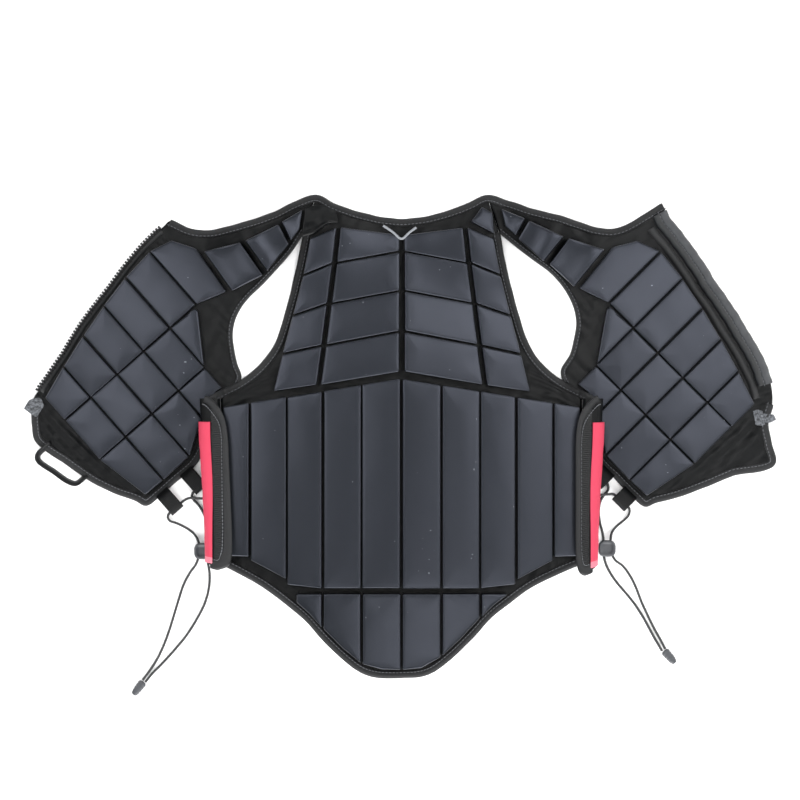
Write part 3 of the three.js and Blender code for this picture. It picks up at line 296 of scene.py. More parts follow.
# %% Finish helpers
def linear(code):
    """Hex screen colour to the linear values that the shader wants."""
    value = np.array([int(code[i : i + 2], 16) for i in (1, 3, 5)]) / 255
    return tuple(np.where(value <= 0.04045, value / 12.92, ((value + 0.055) / 1.055) ** 2.4))


class Finish:
    """A Principled material whose colour and bump may come from small node chains."""

    def __init__(self, name, colour, roughness, **sockets):
        self.material = bpy.data.materials.new(name)
        self.material.use_nodes = True
        self.tree = self.material.node_tree
        self.shader = self.tree.nodes["Principled BSDF"]
        self.shader.inputs["Base Color"].default_value = (*linear(colour), 1)
        self.shader.inputs["Roughness"].default_value = roughness
        for socket, value in sockets.items():
            self.shader.inputs[socket.replace("_", " ")].default_value = value
        self.coordinates = self.tree.nodes.new("ShaderNodeTexCoord")
        self.normal = None

    def noise(self, scale, detail):
        """Noise on the piece's own object coordinates."""
        node = self.tree.nodes.new("ShaderNodeTexNoise")
        node.inputs["Scale"].default_value = scale
        node.inputs["Detail"].default_value = detail
        self.tree.links.new(self.coordinates.outputs["Object"], node.inputs["Vector"])
        return node.outputs["Fac"]

    def lines(self, pitch):
        """Stripes across the V direction of the UV map, one for every pitch in metres."""
        node = self.tree.nodes.new("ShaderNodeTexWave")
        node.bands_direction = "Y"
        node.inputs["Scale"].default_value = 0.314 / pitch
        self.tree.links.new(self.coordinates.outputs["UV"], node.inputs["Vector"])
        return node.outputs["Fac"]

    def ramp(self, value, low, high, first, second):
        """The first colour where the value is below low, the second above high."""
        node = self.tree.nodes.new("ShaderNodeValToRGB")
        for stop, place_on_ramp, colour in zip(node.color_ramp.elements, (low, high),
                                               (first, second)):
            stop.position = place_on_ramp
            stop.color = (*linear(colour), 1)
        self.tree.links.new(value, node.inputs["Fac"])
        return node.outputs["Color"]

    def mix(self, factor, first, second):
        """From the first output to one colour, by a factor."""
        node = self.tree.nodes.new("ShaderNodeMix")
        node.data_type = "RGBA"
        self.tree.links.new(factor, node.inputs[0])
        self.tree.links.new(first, node.inputs[6])
        node.inputs[7].default_value = (*linear(second), 1)
        return node.outputs[2]

    def paint(self, output):
        """Feeds an output to the shader's colour."""
        self.tree.links.new(output, self.shader.inputs["Base Color"])
        return self

    def bump(self, height, distance, strength):
        """Adds a bump of the given depth in metres; later ones build on earlier ones."""
        node = self.tree.nodes.new("ShaderNodeBump")
        node.inputs["Distance"].default_value = distance
        node.inputs["Strength"].default_value = strength
        self.tree.links.new(height, node.inputs["Height"])
        if self.normal is not None:
            self.tree.links.new(self.normal, node.inputs["Normal"])
        self.normal = node.outputs["Normal"]
        self.tree.links.new(self.normal, self.shader.inputs["Normal"])
        return self

    def grain(self, scale, detail, distance, strength):
        """A bump of noise."""
        return self.bump(self.noise(scale, detail), distance, strength)

    def ribs(self, pitch, distance, strength):
        """A bump of even stripes, as woven tape has."""
        return self.bump(self.lines(pitch), distance, strength)


# %% [markdown]
# ### Foam skin
# The foam has a smooth dark skin with a faint cloudy tone and a few pale specks of dust.
# A photo texture could carry them, but noise needs no file and has no seams. Its gloss
# matters most: the skin mirrors the panels above it faintly, and a little bluish.

# %% Foam skin
foam = Finish("foam_skin", "#0d0f12", 0.28, Specular_IOR_Level=0.36,
              Specular_Tint=(0.77, 0.82, 1.0, 1))
cloudy = foam.ramp(foam.noise(7, 3), 0.3, 0.75, "#0c0e10", "#101215")
specks = foam.ramp(foam.noise(330, 0), 0.885, 0.9, "#000000", "#ffffff")
foam.paint(foam.mix(specks, cloudy, "#5d6166"))
FOAM = foam.grain(1400, 2, 0.00012, 0.3).material
print("foam nodes:", len(foam.tree.nodes))

# %% [markdown]
# ### Cloth, tape and webbing
# Nylon is the blackest, with a soft shine on its folds. Bindings, bands and zip tape are
# dull and slightly fuzzy, which sheen gives. Fine ribs run across the woven tapes along
# their own UV map, because object coordinates would not turn with the tape.

# %% Cloth, tape and webbing
NYLON = Finish("black_nylon", "#040506", 0.34, Specular_IOR_Level=0.13).grain(
    90, 2, 0.0003, 0.2).grain(2200, 1, 0.0001, 0.3).material
TAPE = Finish("binding_tape", "#0d0e10", 0.6, Specular_IOR_Level=0.3, Sheen_Weight=0.06).ribs(
    0.0011, 0.0002, 0.6).grain(900, 2, 0.0002, 0.4).material
THREAD = Finish("sewing_thread", "#4a4c50", 0.6).material
RIBBED = Finish("gathered_band", "#101112", 0.65, Specular_IOR_Level=0.25, Sheen_Weight=0.06).grain(
    1200, 2, 0.0002, 0.4).material
EDGE = Finish("flap_edge", "#101113", 0.5, Specular_IOR_Level=0.3).grain(
    700, 3, 0.0003, 0.4).material
RED = Finish("red_cloth", "#aa3147", 0.75, Specular_IOR_Level=0.3).grain(
    1500, 2, 0.00015, 0.5).material
PINK = Finish("red_cloth_end", "#b8606f", 0.7).material
WEB = Finish("black_webbing", "#0b0c0d", 0.5, Specular_IOR_Level=0.2).ribs(
    0.0016, 0.0004, 0.8).material
print("finishes:", len(bpy.data.materials))

# %% [markdown]
# ### Zip, storm flap, fittings and cord
# The storm flap is a lighter cloth with a dark inner band, and the frayed zip ends are
# mottled grey. The plastic is plain and matt, and the cord has a fine woven grain.

# %% Zip, storm flap, fittings and cord
storm_finish = Finish("storm_cloth", "#303236", 0.5, Specular_IOR_Level=0.4)
storm_finish.paint(storm_finish.ramp(storm_finish.noise(120, 4), 0.3, 0.75, "#222427", "#313336"))
STORM = storm_finish.grain(420, 3, 0.0004, 0.5).material
STORM_INNER = Finish("storm_cloth_inner", "#16181a", 0.45, Specular_IOR_Level=0.35).grain(
    300, 3, 0.0005, 0.5).material
ZIP = Finish("zip_tape", "#111214", 0.7).grain(1300, 2, 0.0002, 0.5).material
TEETH = Finish("zip_teeth", "#0c0d0f", 0.4, Specular_IOR_Level=0.3).material
frayed = Finish("frayed_tape_end", "#2c2e31", 0.8)
frayed.paint(frayed.ramp(frayed.noise(420, 3), 0.35, 0.7, "#26282b", "#62656a"))
FRAYED = frayed.grain(700, 3, 0.0008, 0.8).material
PLASTIC = Finish("moulded_plastic", "#303236", 0.42).grain(500, 2, 0.0002, 0.3).material
CORD = Finish("elastic_cord", "#17181a", 0.6, Sheen_Weight=0.1).grain(
    1100, 1, 0.0004, 0.6).material
PALE = Finish("pale_loop", "#6f7277", 0.5, Sheen_Weight=0.1).material
print("finishes:", len(bpy.data.materials))

# %% [markdown]
# ## Lacing cords
# The cords come first, because their real length is a fact of the object. Each elastic
# cord leaves the side flap, passes through a webbing tab and a cord lock, and runs to a
# moulded end. A soft-body simulation could drop them, but then they wouldn't lie where
# the real ones lie, so a curve with a round bevel follows the frame's own routes.

# %% Lacing cords
CORD_DIAMETER = 3.0
cord_routes = {
    "left_cord_outer": [
        (-216, -70, 8), (-224, -70.5, 7.7), (-231, -70.8, 7.5), (-238, -70.4, 7),
        (-243, -70.2, 6.2), (-248, -71.6, 4.8), (-253.8, -75.7, 3.9), (-260.3, -81.7, 3.8),
        (-266.7, -86.9, 3.8), (-269.6, -92, 3.3), (-267.4, -96.6, 2.6),
        (-260, -99.2, 2), (-252, -102.8, 2), (-244.5, -107.2, 2.8), (-238, -113, 4.3),
        (-234, -121, 5), (-233.2, -134, 5), (-236.5, -146, 4.2),
        (-243.5, -156, 2.4), (-251, -170, 1.9), (-257, -188, 1.9), (-263, -208, 1.9),
        (-270.5, -231, 1.9), (-280, -253, 1.9), (-290, -269, 2.6), (-298.3, -280.3, 3.8),
    ],
    "left_cord_inner": [
        (-214, -41, 4.4), (-220, -46.2, 3.9), (-226.7, -51.9, 3.8), (-233, -57.5, 3.8),
        (-239.5, -63.3, 3.7), (-241.8, -67.6, 3.2), (-239.6, -72.4, 2.4), (-234.8, -77.5, 1.9),
        (-230, -84.5, 1.9), (-226.5, -92, 1.9), (-224.8, -101, 2.6), (-224.6, -111, 4.2),
        (-224.8, -121, 5), (-224.8, -134, 5), (-222.8, -147, 4.4), (-221.2, -158, 2.6),
        (-222, -174, 1.9),
        (-226.8, -192, 1.9), (-236.5, -211, 1.9), (-248, -229, 1.9), (-262, -246, 1.9),
        (-277, -262.5, 1.9), (-287.5, -273, 2.6), (-295.3, -282.7, 3.8),
    ],
    "right_cord_outer": [
        (216, -67, 8), (223, -67, 7.7), (231, -66.5, 7.5), (239, -66, 6),
        (244.5, -66, 4), (251.5, -71.5, 3.6), (257.5, -77.5, 3.6), (262.7, -82.7, 3.5),
        (262, -90, 3), (256, -96.5, 2.3), (248.5, -102.5, 2.8), (242.8, -109.5, 4.4),
        (241, -118, 5), (241.2, -130, 5), (246, -141.5, 4.4), (255, -148.5, 2.6),
        (263.5, -160, 1.9), (270.5, -174, 1.9), (277, -191, 1.9), (284.5, -207, 1.9),
        (292.5, -223, 1.9), (299.5, -235.5, 2.6), (304, -244.4, 3.8),
    ],
    "right_cord_inner": [
        (217, -34, 5), (222.5, -39, 4), (230, -46.5, 3.6), (237.2, -53.8, 3.6),
        (238.3, -60.8, 3), (233, -67.5, 2.2), (229, -75, 1.9), (227.5, -87, 1.9),
        (228.8, -99, 2.4), (231.6, -110, 4.4), (232.6, -118, 5), (232.6, -130, 5),
        (234, -141, 4.4), (238.5, -153, 2.6), (248, -167.5, 1.9), (259, -180.5, 1.9),
        (269, -193, 1.9), (278, -207, 1.9), (286, -221.5, 1.9), (292.5, -233.5, 1.9),
        (296.5, -240, 2.6), (300.2, -246.8, 3.8),
    ],
}


def add_cord(name, route):
    """A round curve of one open spline through evenly spaced points of the route; its
    length is the sum of the distances between them."""
    points = spaced(route, 3.0) * MM
    data = bpy.data.curves.new(name, "CURVE")
    data.dimensions = "3D"
    data.bevel_depth = CORD_DIAMETER / 2 * MM
    data.bevel_resolution = 3
    data.use_fill_caps = True
    spline = data.splines.new("POLY")
    spline.points.add(len(points) - 1)
    spline.points.foreach_set("co", np.c_[points, np.ones(len(points))].ravel())
    data.materials.append(CORD)
    cord = bpy.data.objects.new(name, data)
    bpy.context.scene.collection.objects.link(cord)
    length = float(np.linalg.norm(np.diff(points, axis=0), axis=1).sum())
    return cord, length, points


cords = {}
for cord_name, route in cord_routes.items():
    cord, length, points = add_cord(f"elastic_{cord_name}", route)
    place(cord, "cord", cord_name)
    cords[cord_name] = (cord, length, points)
    print(cord_name, round(length, 3), "m")

# %% [markdown]
# ## Cord locks and cord ends
# A cord lock is a small flat moulding with two holes; the cords hide the holes here, so
# a pillow with a raised rim is enough. A cord end is a tapered clip over the two strands.
# Both could be bevelled cubes, but stacked rings give the rim and the grip grooves too.

# %% Cord locks and cord ends
LOCKS = {"left": (-229, -131.5), "right": (236.9, -128.5)}
# place where the strands enter, and heading
ENDS = {
    "left": ((-297.3, -282.2), (-0.62, -0.785)),
    "right": ((302.7, -246.4), (0.665, -0.747)),
}
LOCK_SIZE = (20.0, 19.0, 9.0)
END_SIZE = (19.0, 10.0, 7.0)
FLOOR_GAP = 0.4


def squircle(count, power):
    """Points of the curve |x|^p + |y|^p = 1: a circle whose sines and cosines are
    raised to the power 2/p."""
    angle = np.arange(count) / count * 2 * np.pi
    c, s = np.cos(angle), np.sin(angle)
    shape = 2 / power
    return np.stack([np.sign(c) * np.abs(c) ** shape, np.sign(s) * np.abs(s) ** shape], -1)


def add_lock(name):
    """Rings of a rounded square: foot, wall, rim, then a shallow dish in the top."""
    width, depth, height = LOCK_SIZE
    up = np.array([0, 0.06, 0.25, 0.75, 0.93, 1, 0.97, 0.88, 0.86])
    size = np.array([0.84, 0.95, 1, 1, 0.96, 0.84, 0.7, 0.6, 0.3])
    plan = squircle(48, 3.0) * (width / 2, depth / 2)
    centre = np.array(LOCKS[name])
    xy = centre + plan[None] * size[:, None, None]
    z = np.broadcast_to((FLOOR_GAP + up * height)[:, None, None], (*xy.shape[:2], 1))
    points, quads = capped(np.concatenate([xy, z], -1))
    return place(make_mesh(f"lock_{name}", points, quads, [PLASTIC]), "cord_fittings",
                 f"cord_lock_{name}")


def add_end(name):
    """Oval rings along the heading, widest near the cords and pinched at the tip, with
    three shallow grip grooves."""
    (x, y), heading = ENDS[name]
    length, width, height = END_SIZE
    t = np.linspace(0, 1, 34)
    wide = np.interp(t, [0, 0.05, 0.14, 0.7, 0.93, 1], [0.6, 0.86, 1, 0.9, 0.66, 0.4])
    tall = np.interp(t, [0, 0.08, 0.7, 0.95, 1], [0.66, 1, 0.9, 0.6, 0.36])
    groove = 1 - 0.1 * np.clip(np.sin((t - 0.2) * 2 * np.pi * 5), 0, 1) * (t > 0.2) * (t < 0.8)
    along = np.array(heading)
    side = np.array([-along[1], along[0]])
    oval = squircle(24, 2.6)
    centre = np.array([x, y]) + along * (t[:, None] * length)
    xy = centre[:, None] + side * (oval[None, :, :1] * (wide * groove * width / 2)[:, None, None])
    z = FLOOR_GAP + height / 2 + oval[None, :, 1:] * (tall * groove * height / 2)[:, None, None]
    points, quads = capped(np.concatenate([xy, z], -1))
    return place(make_mesh(f"end_{name}", points, quads, [PLASTIC]), "cord_fittings",
                 f"cord_end_{name}")


for name in ("left", "right"):
    fittings = [add_lock(name), add_end(name)]
    for strand in ("outer", "inner"):
        cord, length, points = cords[f"{name}_cord_{strand}"]
print("cord fittings: 4")

# %% [markdown]
# ## Outlines
# The back is symmetric and is described by sections across it. Each front is the same
# shape swung outwards about the shoulder, by a slightly different angle on each side.
# Tracing the outline point by point would be quicker, but sections keep both sides alike.
# The tables repeat the frame's shares, so every new surface lies where its solid lies.
# Only the fronts' row at 0.527 goes further out here, to run in under the back's tip.

# %% Sizes
# the back: its length, and half widths at the side and at the shoulder
BACK_LENGTH, BACK_HALF, SHOULDER_HALF = 527.0, 208.0, 98.0
# a front: length along the zip, width of its middle and side columns, width of the wedge
# column at head and foot, and the power by which that narrows
FRONT_LENGTH, FRONT_WIDTH = 430.0, 136.0
ZIP_TOP, ZIP_FOOT, ZIP_TAPER = 82.0, 34.5, 1.5
# cloth thickness, level of the foam's underside, foam, level of its top
WALL, SEAT, FOAM_HEIGHT = 2.5, 2.8, 20.0
FOAM_TOP = SEAT + FOAM_HEIGHT
# the shoulder seam's rise, the straps' arch, and how far both reach
SHOULDER_LIFT, YOKE_REACH = 7.0, 90.0
STRAP_ARCH, STRAP_REACH = 11.0, 110.0
# gaps between yoke columns and between blocks
YOKE_GAP, BLOCK_GAP = 5.5, 2.6
# widths of the tapes, and what stays clear beside them
BINDING, EDGE_CLEAR = 7.0, 2.0
ARM_TAPE, ARM_CLEAR = 4.5, 0.5
# strap as a share of a front, start of the first column line, slip between the two
# cloths at the seam, sway of the hem's middle, share of the corner's drop at the side
STRAP_SHARE, FIRST_LINE, SEAM_SLIP = 0.2, 0.031, (0.6, 0.2)
HEM_SWAY, HEM_DROP_SHARE = 5.5, 0.27
# the side flap: reach beyond the back, root, wall, and its ends as shares of the back
FLAP_REACH, FLAP_ROOT, FLAP_WALL = 22.0, 0.09, 2.2
FLAP_TOP, FLAP_FOOT = 0.084, -0.262
# where the fronts' cloth ends beside the back, and the lower end of the back's side
UNDER_CLEAR = 1.2
BACK_SIDE = BACK_HALF + FLAP_REACH * FLAP_ROOT + FLAP_WALL + UNDER_CLEAR
BACK_SIDE_FOOT = -146.0
# the tape of the back's armhole runs past the side tip, up over the front's foam
BACK_TIP = (224.0, 44.0)
TIP_START, TIP_RUN, TIP_RISE = 203.0, 11.0, 19.5

# turn: swing of the front in degrees; sway: sideways bend of the strap; arm: how far the
# cloth's edge moves out into the armhole; wedge: extra width of the wedge column; drop: of
# the hem's corner; lean and foot_drop: of the side flap; then the size of the lacing tabs
SIDES = {
    "left": {"sign": -1, "turn": 48.7, "sway": -7.4, "arm": 4.5, "wedge": 0.0, "drop": 0.0,
             "lean": 6.0, "foot_drop": 0.022, "tab_length": 17.0, "tab_reach": 28.5},
    "right": {"sign": 1, "turn": 45.0, "sway": 7.4, "arm": -5.5, "wedge": 3.0, "drop": 20.0,
              "lean": 0.0, "foot_drop": 0.036, "tab_length": 20.0, "tab_reach": 21.0},
}
print("frame's sizes:", BACK_LENGTH, "x", 2 * BACK_HALF, "mm back")

# %% [markdown]
# ### Tables of sections
# Each table is a list of shares of the sizes above. A row is one line across
# a panel, so a panel's two edges always have the same number of rows, and the grid
# between them has no odd corners.

# %% Tables of sections
# out, up, spine, bow: shares of the half width and the length of the back
BACK_SECTIONS = np.array([
    (0.471, 0.5264, 0.4744, 1.8), (0.538, 0.4478, 0.42, 1.5), (0.562, 0.395, 0.37, 1.3),
    (0.591, 0.3435, 0.322, 1.2), (0.639, 0.2713, 0.27, 1), (0.697, 0.203, 0.215, 1),
    (0.769, 0.1613, 0.175, 1), (0.875, 0.1252, 0.14, 1), (1, 0.0987, 0.105, 1),
])
# out, up along the hem from the spine to the side
HEM = np.array([
    (0, -0.5256), (0.13, -0.522), (0.207, -0.511), (0.303, -0.482), (0.413, -0.44),
    (0.524, -0.393), (0.635, -0.357), (0.745, -0.326), (0.856, -0.302), (0.942, -0.2856),
    (1, -0.277),
])
# zip along, zip across (None: from the wedge column and the zip margin), side along,
# side across, corner and arm: how far a row takes part in the drop and the arm of a side
FRONT_SECTIONS = [
    (0, 0.031, 0.0916, 0.19, 0, 0), (0.0567, -0.059, 0.15, 0.199, 0, 0),
    (0.117, -0.132, 0.206, 0.202, 0, 0.4), (0.173, -0.22, 0.266, 0.199, 0, 1),
    (0.224, -0.301, 0.317, 0.206, 0, 1), (0.271, -0.382, 0.357, 0.235, 0, 0.9),
    (0.31, -0.5, 0.389, 0.283, 0, 0.9), (0.338, None, 0.415, 0.353, 0.25, 1),
    (0.364, None, 0.438, 0.452, 0, 1.1), (0.406, None, 0.459, 0.566, 0, 1),
    (0.457, None, 0.475, 0.7, 0, 0.3), (0.527, None, 0.522, 0.74, 0, 0),
    (0.585, None, 0.573, 0.7, 0, 0), (0.64, None, 0.62, 0.82, 0, 0),
    (0.69, None, 0.666, 0.94, 0, 0), (0.74, None, 0.72, 1, 0, 0), (0.79, None, 0.782, 1, 0, 0),
    (0.85, None, 0.845, 1, 0, 0), (0.9, None, 0.888, 0.987, 0, 0),
    (0.932, None, 0.9, 0.9, 0.1, 0), (0.955, -0.23, 0.929, 0.74, 0.2, 0),
    (0.978, -0.14, 0.955, 0.54, 0.6, 0), (0.997, -0.03, 0.977, 0.27, 1.2, 0),
]
# share of the front's length, cloth beyond the wedge column on the left and right front
ZIP_MARGINS = np.array([
    (0.338, 11, 43), (0.39, 11.5, 36), (0.457, 9.5, 33.5), (0.58, 7, 31), (0.7, 9, 33),
    (0.79, 8, 35), (0.86, 10, 35), (0.9, 12, 31), (0.932, 8, 17),
])
# rows of the front at the zip's head, at the armhole's end and below the side tip
CORNER_ROW, ARMHOLE_ROW, SIDE_ROW = 7, 10, 14
# common rows of a front's blocks, and the line between its middle and side columns
FRONT_ROWS = (0.4335, 0.527, 0.621, 0.715, 0.8085, 0.902)
MIDDLE_COLUMN = 0.445
print("front edge rows:", len(FRONT_SECTIONS))

# %% [markdown]
# ### Heights and the fronts' own axes
# The panels lie flat except at the shoulders, where the seam stands off the floor and
# the straps arch. Heights are functions of the place, so foam, cloth and tape agree on
# them. A front has its own axes, along the zip and across, and one function swings them
# into the plane. A parent empty could swing them too, but then edges wouldn't share points.

# %% Heights and the fronts' own axes
SHOULDER_TOP = np.array([SHOULDER_HALF, BACK_SECTIONS[0, 1] * BACK_LENGTH])
SHOULDER_END = BACK_SECTIONS[1, :2] * (BACK_HALF, BACK_LENGTH)
SEAM_MIDDLE = (SHOULDER_TOP + SHOULDER_END) / 2
SEAM_HALF = np.linalg.norm(SHOULDER_TOP - SEAM_MIDDLE)


def seam_distance(x, y):
    """Distance from the shoulder seam, which is a disc about its middle."""
    reach = np.hypot(np.abs(x) - SEAM_MIDDLE[0], y - SEAM_MIDDLE[1])
    return np.maximum(0, reach - SEAM_HALF)


def back_height(x, y):
    """Underside of the back: flat, rising smoothly to the shoulder seam."""
    return SHOULDER_LIFT * smooth_step(1 - seam_distance(x, y) / YOKE_REACH)


def tip_height(x, y):
    """Underside of the back's armhole tape: the back's, rising at the side tip."""
    return back_height(x, y) + TIP_RISE * smooth_step((np.abs(x) - TIP_START) / TIP_RUN)


def front_height(x, y):
    """Underside of a front: the strap leaves the seam, arches and comes down."""
    share = np.clip(seam_distance(x, y) / STRAP_REACH, 0, 1)
    return SHOULDER_LIFT * smooth_step(1 - share) + STRAP_ARCH * np.sin(np.pi * share) ** 2


def front_point(side, along, across):
    """Turns a front's own frame, along the zip and across from the first column line,
    into the plane: a rotation by the swing, with the strap bent sideways."""
    turn = np.radians(side["turn"])
    strap = smooth_step(1 - np.asarray(along) / (STRAP_SHARE * FRONT_LENGTH))
    swayed = across - FIRST_LINE * FRONT_WIDTH + side["sway"] * (strap - 1)
    x = SHOULDER_TOP[0] + np.sin(turn) * along - np.cos(turn) * swayed
    y = SHOULDER_TOP[1] - np.cos(turn) * along - np.sin(turn) * swayed
    return np.stack([side["sign"] * x, y], -1)


def zip_column(along):
    """Width of the wedge column at a place along the front: it narrows slowly at first."""
    head, foot = FRONT_ROWS[0] * FRONT_LENGTH, FRONT_ROWS[-1] * FRONT_LENGTH
    share = np.clip((along - head) / (foot - head), 0, 1) ** ZIP_TAPER
    return ZIP_TOP + share * (ZIP_FOOT - ZIP_TOP)


def front_frame(side, x, y):
    """The way back: from the plane to a front's own along and across."""
    turn = np.radians(side["turn"])
    u, v = side["sign"] * x - SHOULDER_TOP[0], SHOULDER_TOP[1] - y
    along = np.sin(turn) * u + np.cos(turn) * v
    strap = smooth_step(1 - along / (STRAP_SHARE * FRONT_LENGTH))
    across = np.sin(turn) * v - np.cos(turn) * u + FIRST_LINE * FRONT_WIDTH
    return along, across - side["sway"] * (strap - 1)


def zip_margin(side, share):
    """Cloth beyond the wedge column at a share of the front's length."""
    column = 1 if side["sign"] < 0 else 2
    return np.interp(share, ZIP_MARGINS[:, 0], ZIP_MARGINS[:, column])


print("shoulder seam:", round(2 * SEAM_HALF), "mm long")

# %% [markdown]
# ### Edges of the panels
# The sections give the end points of each row, and smooth lines join those. The same
# lines carry the tape later, which is why they are functions and not drawn curves.


# %% Edges of the panels
def front_edges(side):
    """The rows' end points on the zip side and on the side edge of a front."""
    zips, edges = [], []
    for zip_along, zip_across, side_along, side_across, corner, arm in FRONT_SECTIONS:
        along = zip_along * FRONT_LENGTH + corner * side["drop"]
        if zip_across is None:
            across = -zip_column(along) - zip_margin(side, zip_along)
        else:
            across = zip_across * FRONT_WIDTH
        zips.append(front_point(side, along, across))
        along = side_along * FRONT_LENGTH + HEM_DROP_SHARE * corner**2 * side["drop"]
        edges.append(front_point(side, along, side_across * FRONT_WIDTH + arm * side["arm"]))
    near = np.array(SEAM_SLIP) * (side["sign"], 1)
    zips[0] = SHOULDER_TOP * (side["sign"], 1) + near
    edges[0] = SHOULDER_END * (side["sign"], 1) + near
    return np.array(zips), np.array(edges)


BACK_EDGE = np.vstack([SHOULDER_TOP, BACK_SECTIONS[1:, :2] * (BACK_HALF, BACK_LENGTH)])
hem_fine = catmull(HEM, np.linspace(0, len(HEM) - 1, 400)) * (BACK_HALF, BACK_LENGTH)


def hem_height(x):
    """Y of the back's hem under any x; its middle sways to the left by
    sway x (1 - share^6)."""
    share = np.asarray(x) / BACK_HALF
    out = np.abs(x + HEM_SWAY * (1 - np.minimum(1, share**6)))
    return np.interp(out, hem_fine[:, 0], hem_fine[:, 1])


def inside_back(x, y, clear=UNDER_CLEAR):
    """True where a point lies under the back or its side flap's root, or less than
    clear beyond them."""
    fine = catmull(BACK_EDGE, np.linspace(0, len(BACK_EDGE) - 1, 200))
    limit = np.interp(y, fine[::-1, 1], fine[::-1, 0]) + clear
    limit = np.where(y < FLAP_TOP * BACK_LENGTH, BACK_SIDE - UNDER_CLEAR + clear, limit)
    return (np.abs(x) < limit) & (y > BACK_SIDE_FOOT) & (y < SHOULDER_END[1])


print("hem at the spine:", round(float(hem_height(0.0))), "mm")

# %% [markdown]
# ## Foam blocks
# The padding is foam cut into blocks that keep square sides and slightly rounded edges.
# A bevel modifier on a prism would round the edges but leave the tops dead flat. Here a
# block is a polygon with filleted corners carried inwards ring by ring: up the wall, over
# the rounded edge, then across the top to a short line in its middle. A faint crown, a
# slight lean and slow noise keep rows of equal blocks from looking machined.


# %% Foam block surfaces
EDGE_ROUND = 1.5
CORNER_ROUND = 1.8
CROWN = 0.35


def shrink(polygon, distance):
    """Moves every side of a convex polygon inwards: each corner goes along the sum of
    its two side normals, divided by one plus their dot product."""
    after = np.roll(polygon, -1, axis=0) - polygon
    normal = np.stack([-after[:, 1], after[:, 0]], -1)
    normal /= np.linalg.norm(normal, axis=1, keepdims=True)
    before = np.roll(normal, 1, axis=0)
    joint = 1 + (normal * before).sum(1, keepdims=True)
    return polygon + distance * (normal + before) / joint


def counter_clockwise(polygon):
    """The polygon, turned round where its signed area is negative."""
    after = np.roll(polygon, -1, axis=0)
    area = (polygon[:, 0] * after[:, 1] - polygon[:, 1] * after[:, 0]).sum()
    return polygon if area > 0 else polygon[::-1]


def filleted(polygon, radius, bend=6, run=9):
    """Replaces each corner by a quadratic Bezier between points at most radius away on
    its two sides, and divides what is left of each side evenly."""
    out = []
    count = len(polygon)
    for i in range(count):
        corner = polygon[i]
        before, after = polygon[i - 1] - corner, polygon[(i + 1) % count] - corner
        cuts = [min(radius / np.linalg.norm(v), 0.42) for v in (before, after)]
        a, b = corner + before * cuts[0], corner + after * cuts[1]
        t = np.linspace(0, 1, bend)[:, None]
        out.append((1 - t) ** 2 * a + 2 * t * (1 - t) * corner + t * t * b)
        following = polygon[(i + 1) % count]
        back = corner - following
        end = following + back * min(radius / np.linalg.norm(back), 0.42)
        out.append(b + np.linspace(0, 1, run + 2)[1:-1, None] * (end - b))
    return np.vstack(out)


def block_rings(polygon, height, seed, tilt=(0, 0), top=FOAM_HEIGHT):
    """Rings of one block. Each outline point moves towards the nearest point of a short
    middle line; the lift follows the wall, a quarter circle and a faint crown. A
    tilted block leans as a whole: its top shifts by minus the tilt times the lift."""
    outline = filleted(polygon, CORNER_ROUND)
    centre = outline.mean(0)
    offsets = outline - centre
    _, _, axes = np.linalg.svd(offsets, full_matrices=False)
    long, short = offsets @ axes[0], offsets @ axes[1]
    half = max(np.abs(long).max() - np.abs(short).max(), 0.5) * 0.9
    core = centre + np.clip(long, -half, half)[:, None] * axes[0]
    inward = core - outline
    reach = np.linalg.norm(inward, axis=1, keepdims=True)
    turn = np.linspace(0, np.pi / 2, 6)[1:]
    inset = np.r_[0.5, 0.2, 0, 0, EDGE_ROUND * (1 - np.cos(turn))]
    lift = np.r_[0, top * 0.3, top * 0.6, top - EDGE_ROUND,
                 top - EDGE_ROUND * (1 - np.sin(turn))]
    rings = [outline + inward * np.minimum(i / reach, 0.98) for i in inset]
    crowns = np.linspace(0, 1, 8)[1:]
    start = rings[-1]
    rings += [start + (core - start) * t for t in crowns]
    lift = np.r_[lift, top + CROWN * (1 - (1 - crowns) ** 2)]
    xy = np.stack(rings)
    rise = (lift / top)[:, None]
    x, y = xy[..., 0], xy[..., 1]
    local = (x - centre[0]) * tilt[0] + (y - centre[1]) * tilt[1]
    xy = xy - np.asarray(tilt) * lift[:, None, None]
    uneven = 0.14 * waves(x, y, 46, seed) + 0.02 * waves(x, y, 13, seed + 1)
    z = height(x, y) + SEAT + lift[:, None] + (local + uneven) * rise**2
    rings = np.concatenate([xy, z[..., None]], -1)
    floor = np.concatenate([core, rings[0][:, 2:]], -1)[None]
    return np.concatenate([floor, rings])


def add_foam(name, polygons, height, slack=-0.35, tilts=None):
    """All blocks of one strip as one piece that replaces the strip's solid."""
    rng = np.random.default_rng(sum(map(ord, name)))
    parts = []
    for number, polygon in enumerate(polygons):
        shape = shrink(counter_clockwise(np.asarray(polygon, float)), BLOCK_GAP / 2 + slack)
        tilt = rng.normal(0, 0.01, 2)
        if tilts is not None:
            tilt = tilt + tilts[number]
        rings = block_rings(shape, height, int(rng.integers(1000)), tilt)
        parts.append((rings.reshape(-1, 3), grid_quads(*rings.shape[:2], wrap=True)))
    piece = make_mesh(f"foam_{name}", *join(parts), [FOAM])
    place(piece, "foam", name)
    return piece


# %% [markdown]
# ### Foam of the back
# Four yoke columns sit between the shoulders, ten long blocks below them, and six tail
# blocks follow the rounded hem. Each strip could be one mesh with grooves, but separate
# blocks show true gaps and dark channels. The slight leans matter under soft light: a
# glossy flat top is as bright as what it mirrors, and a lean picks what that is.

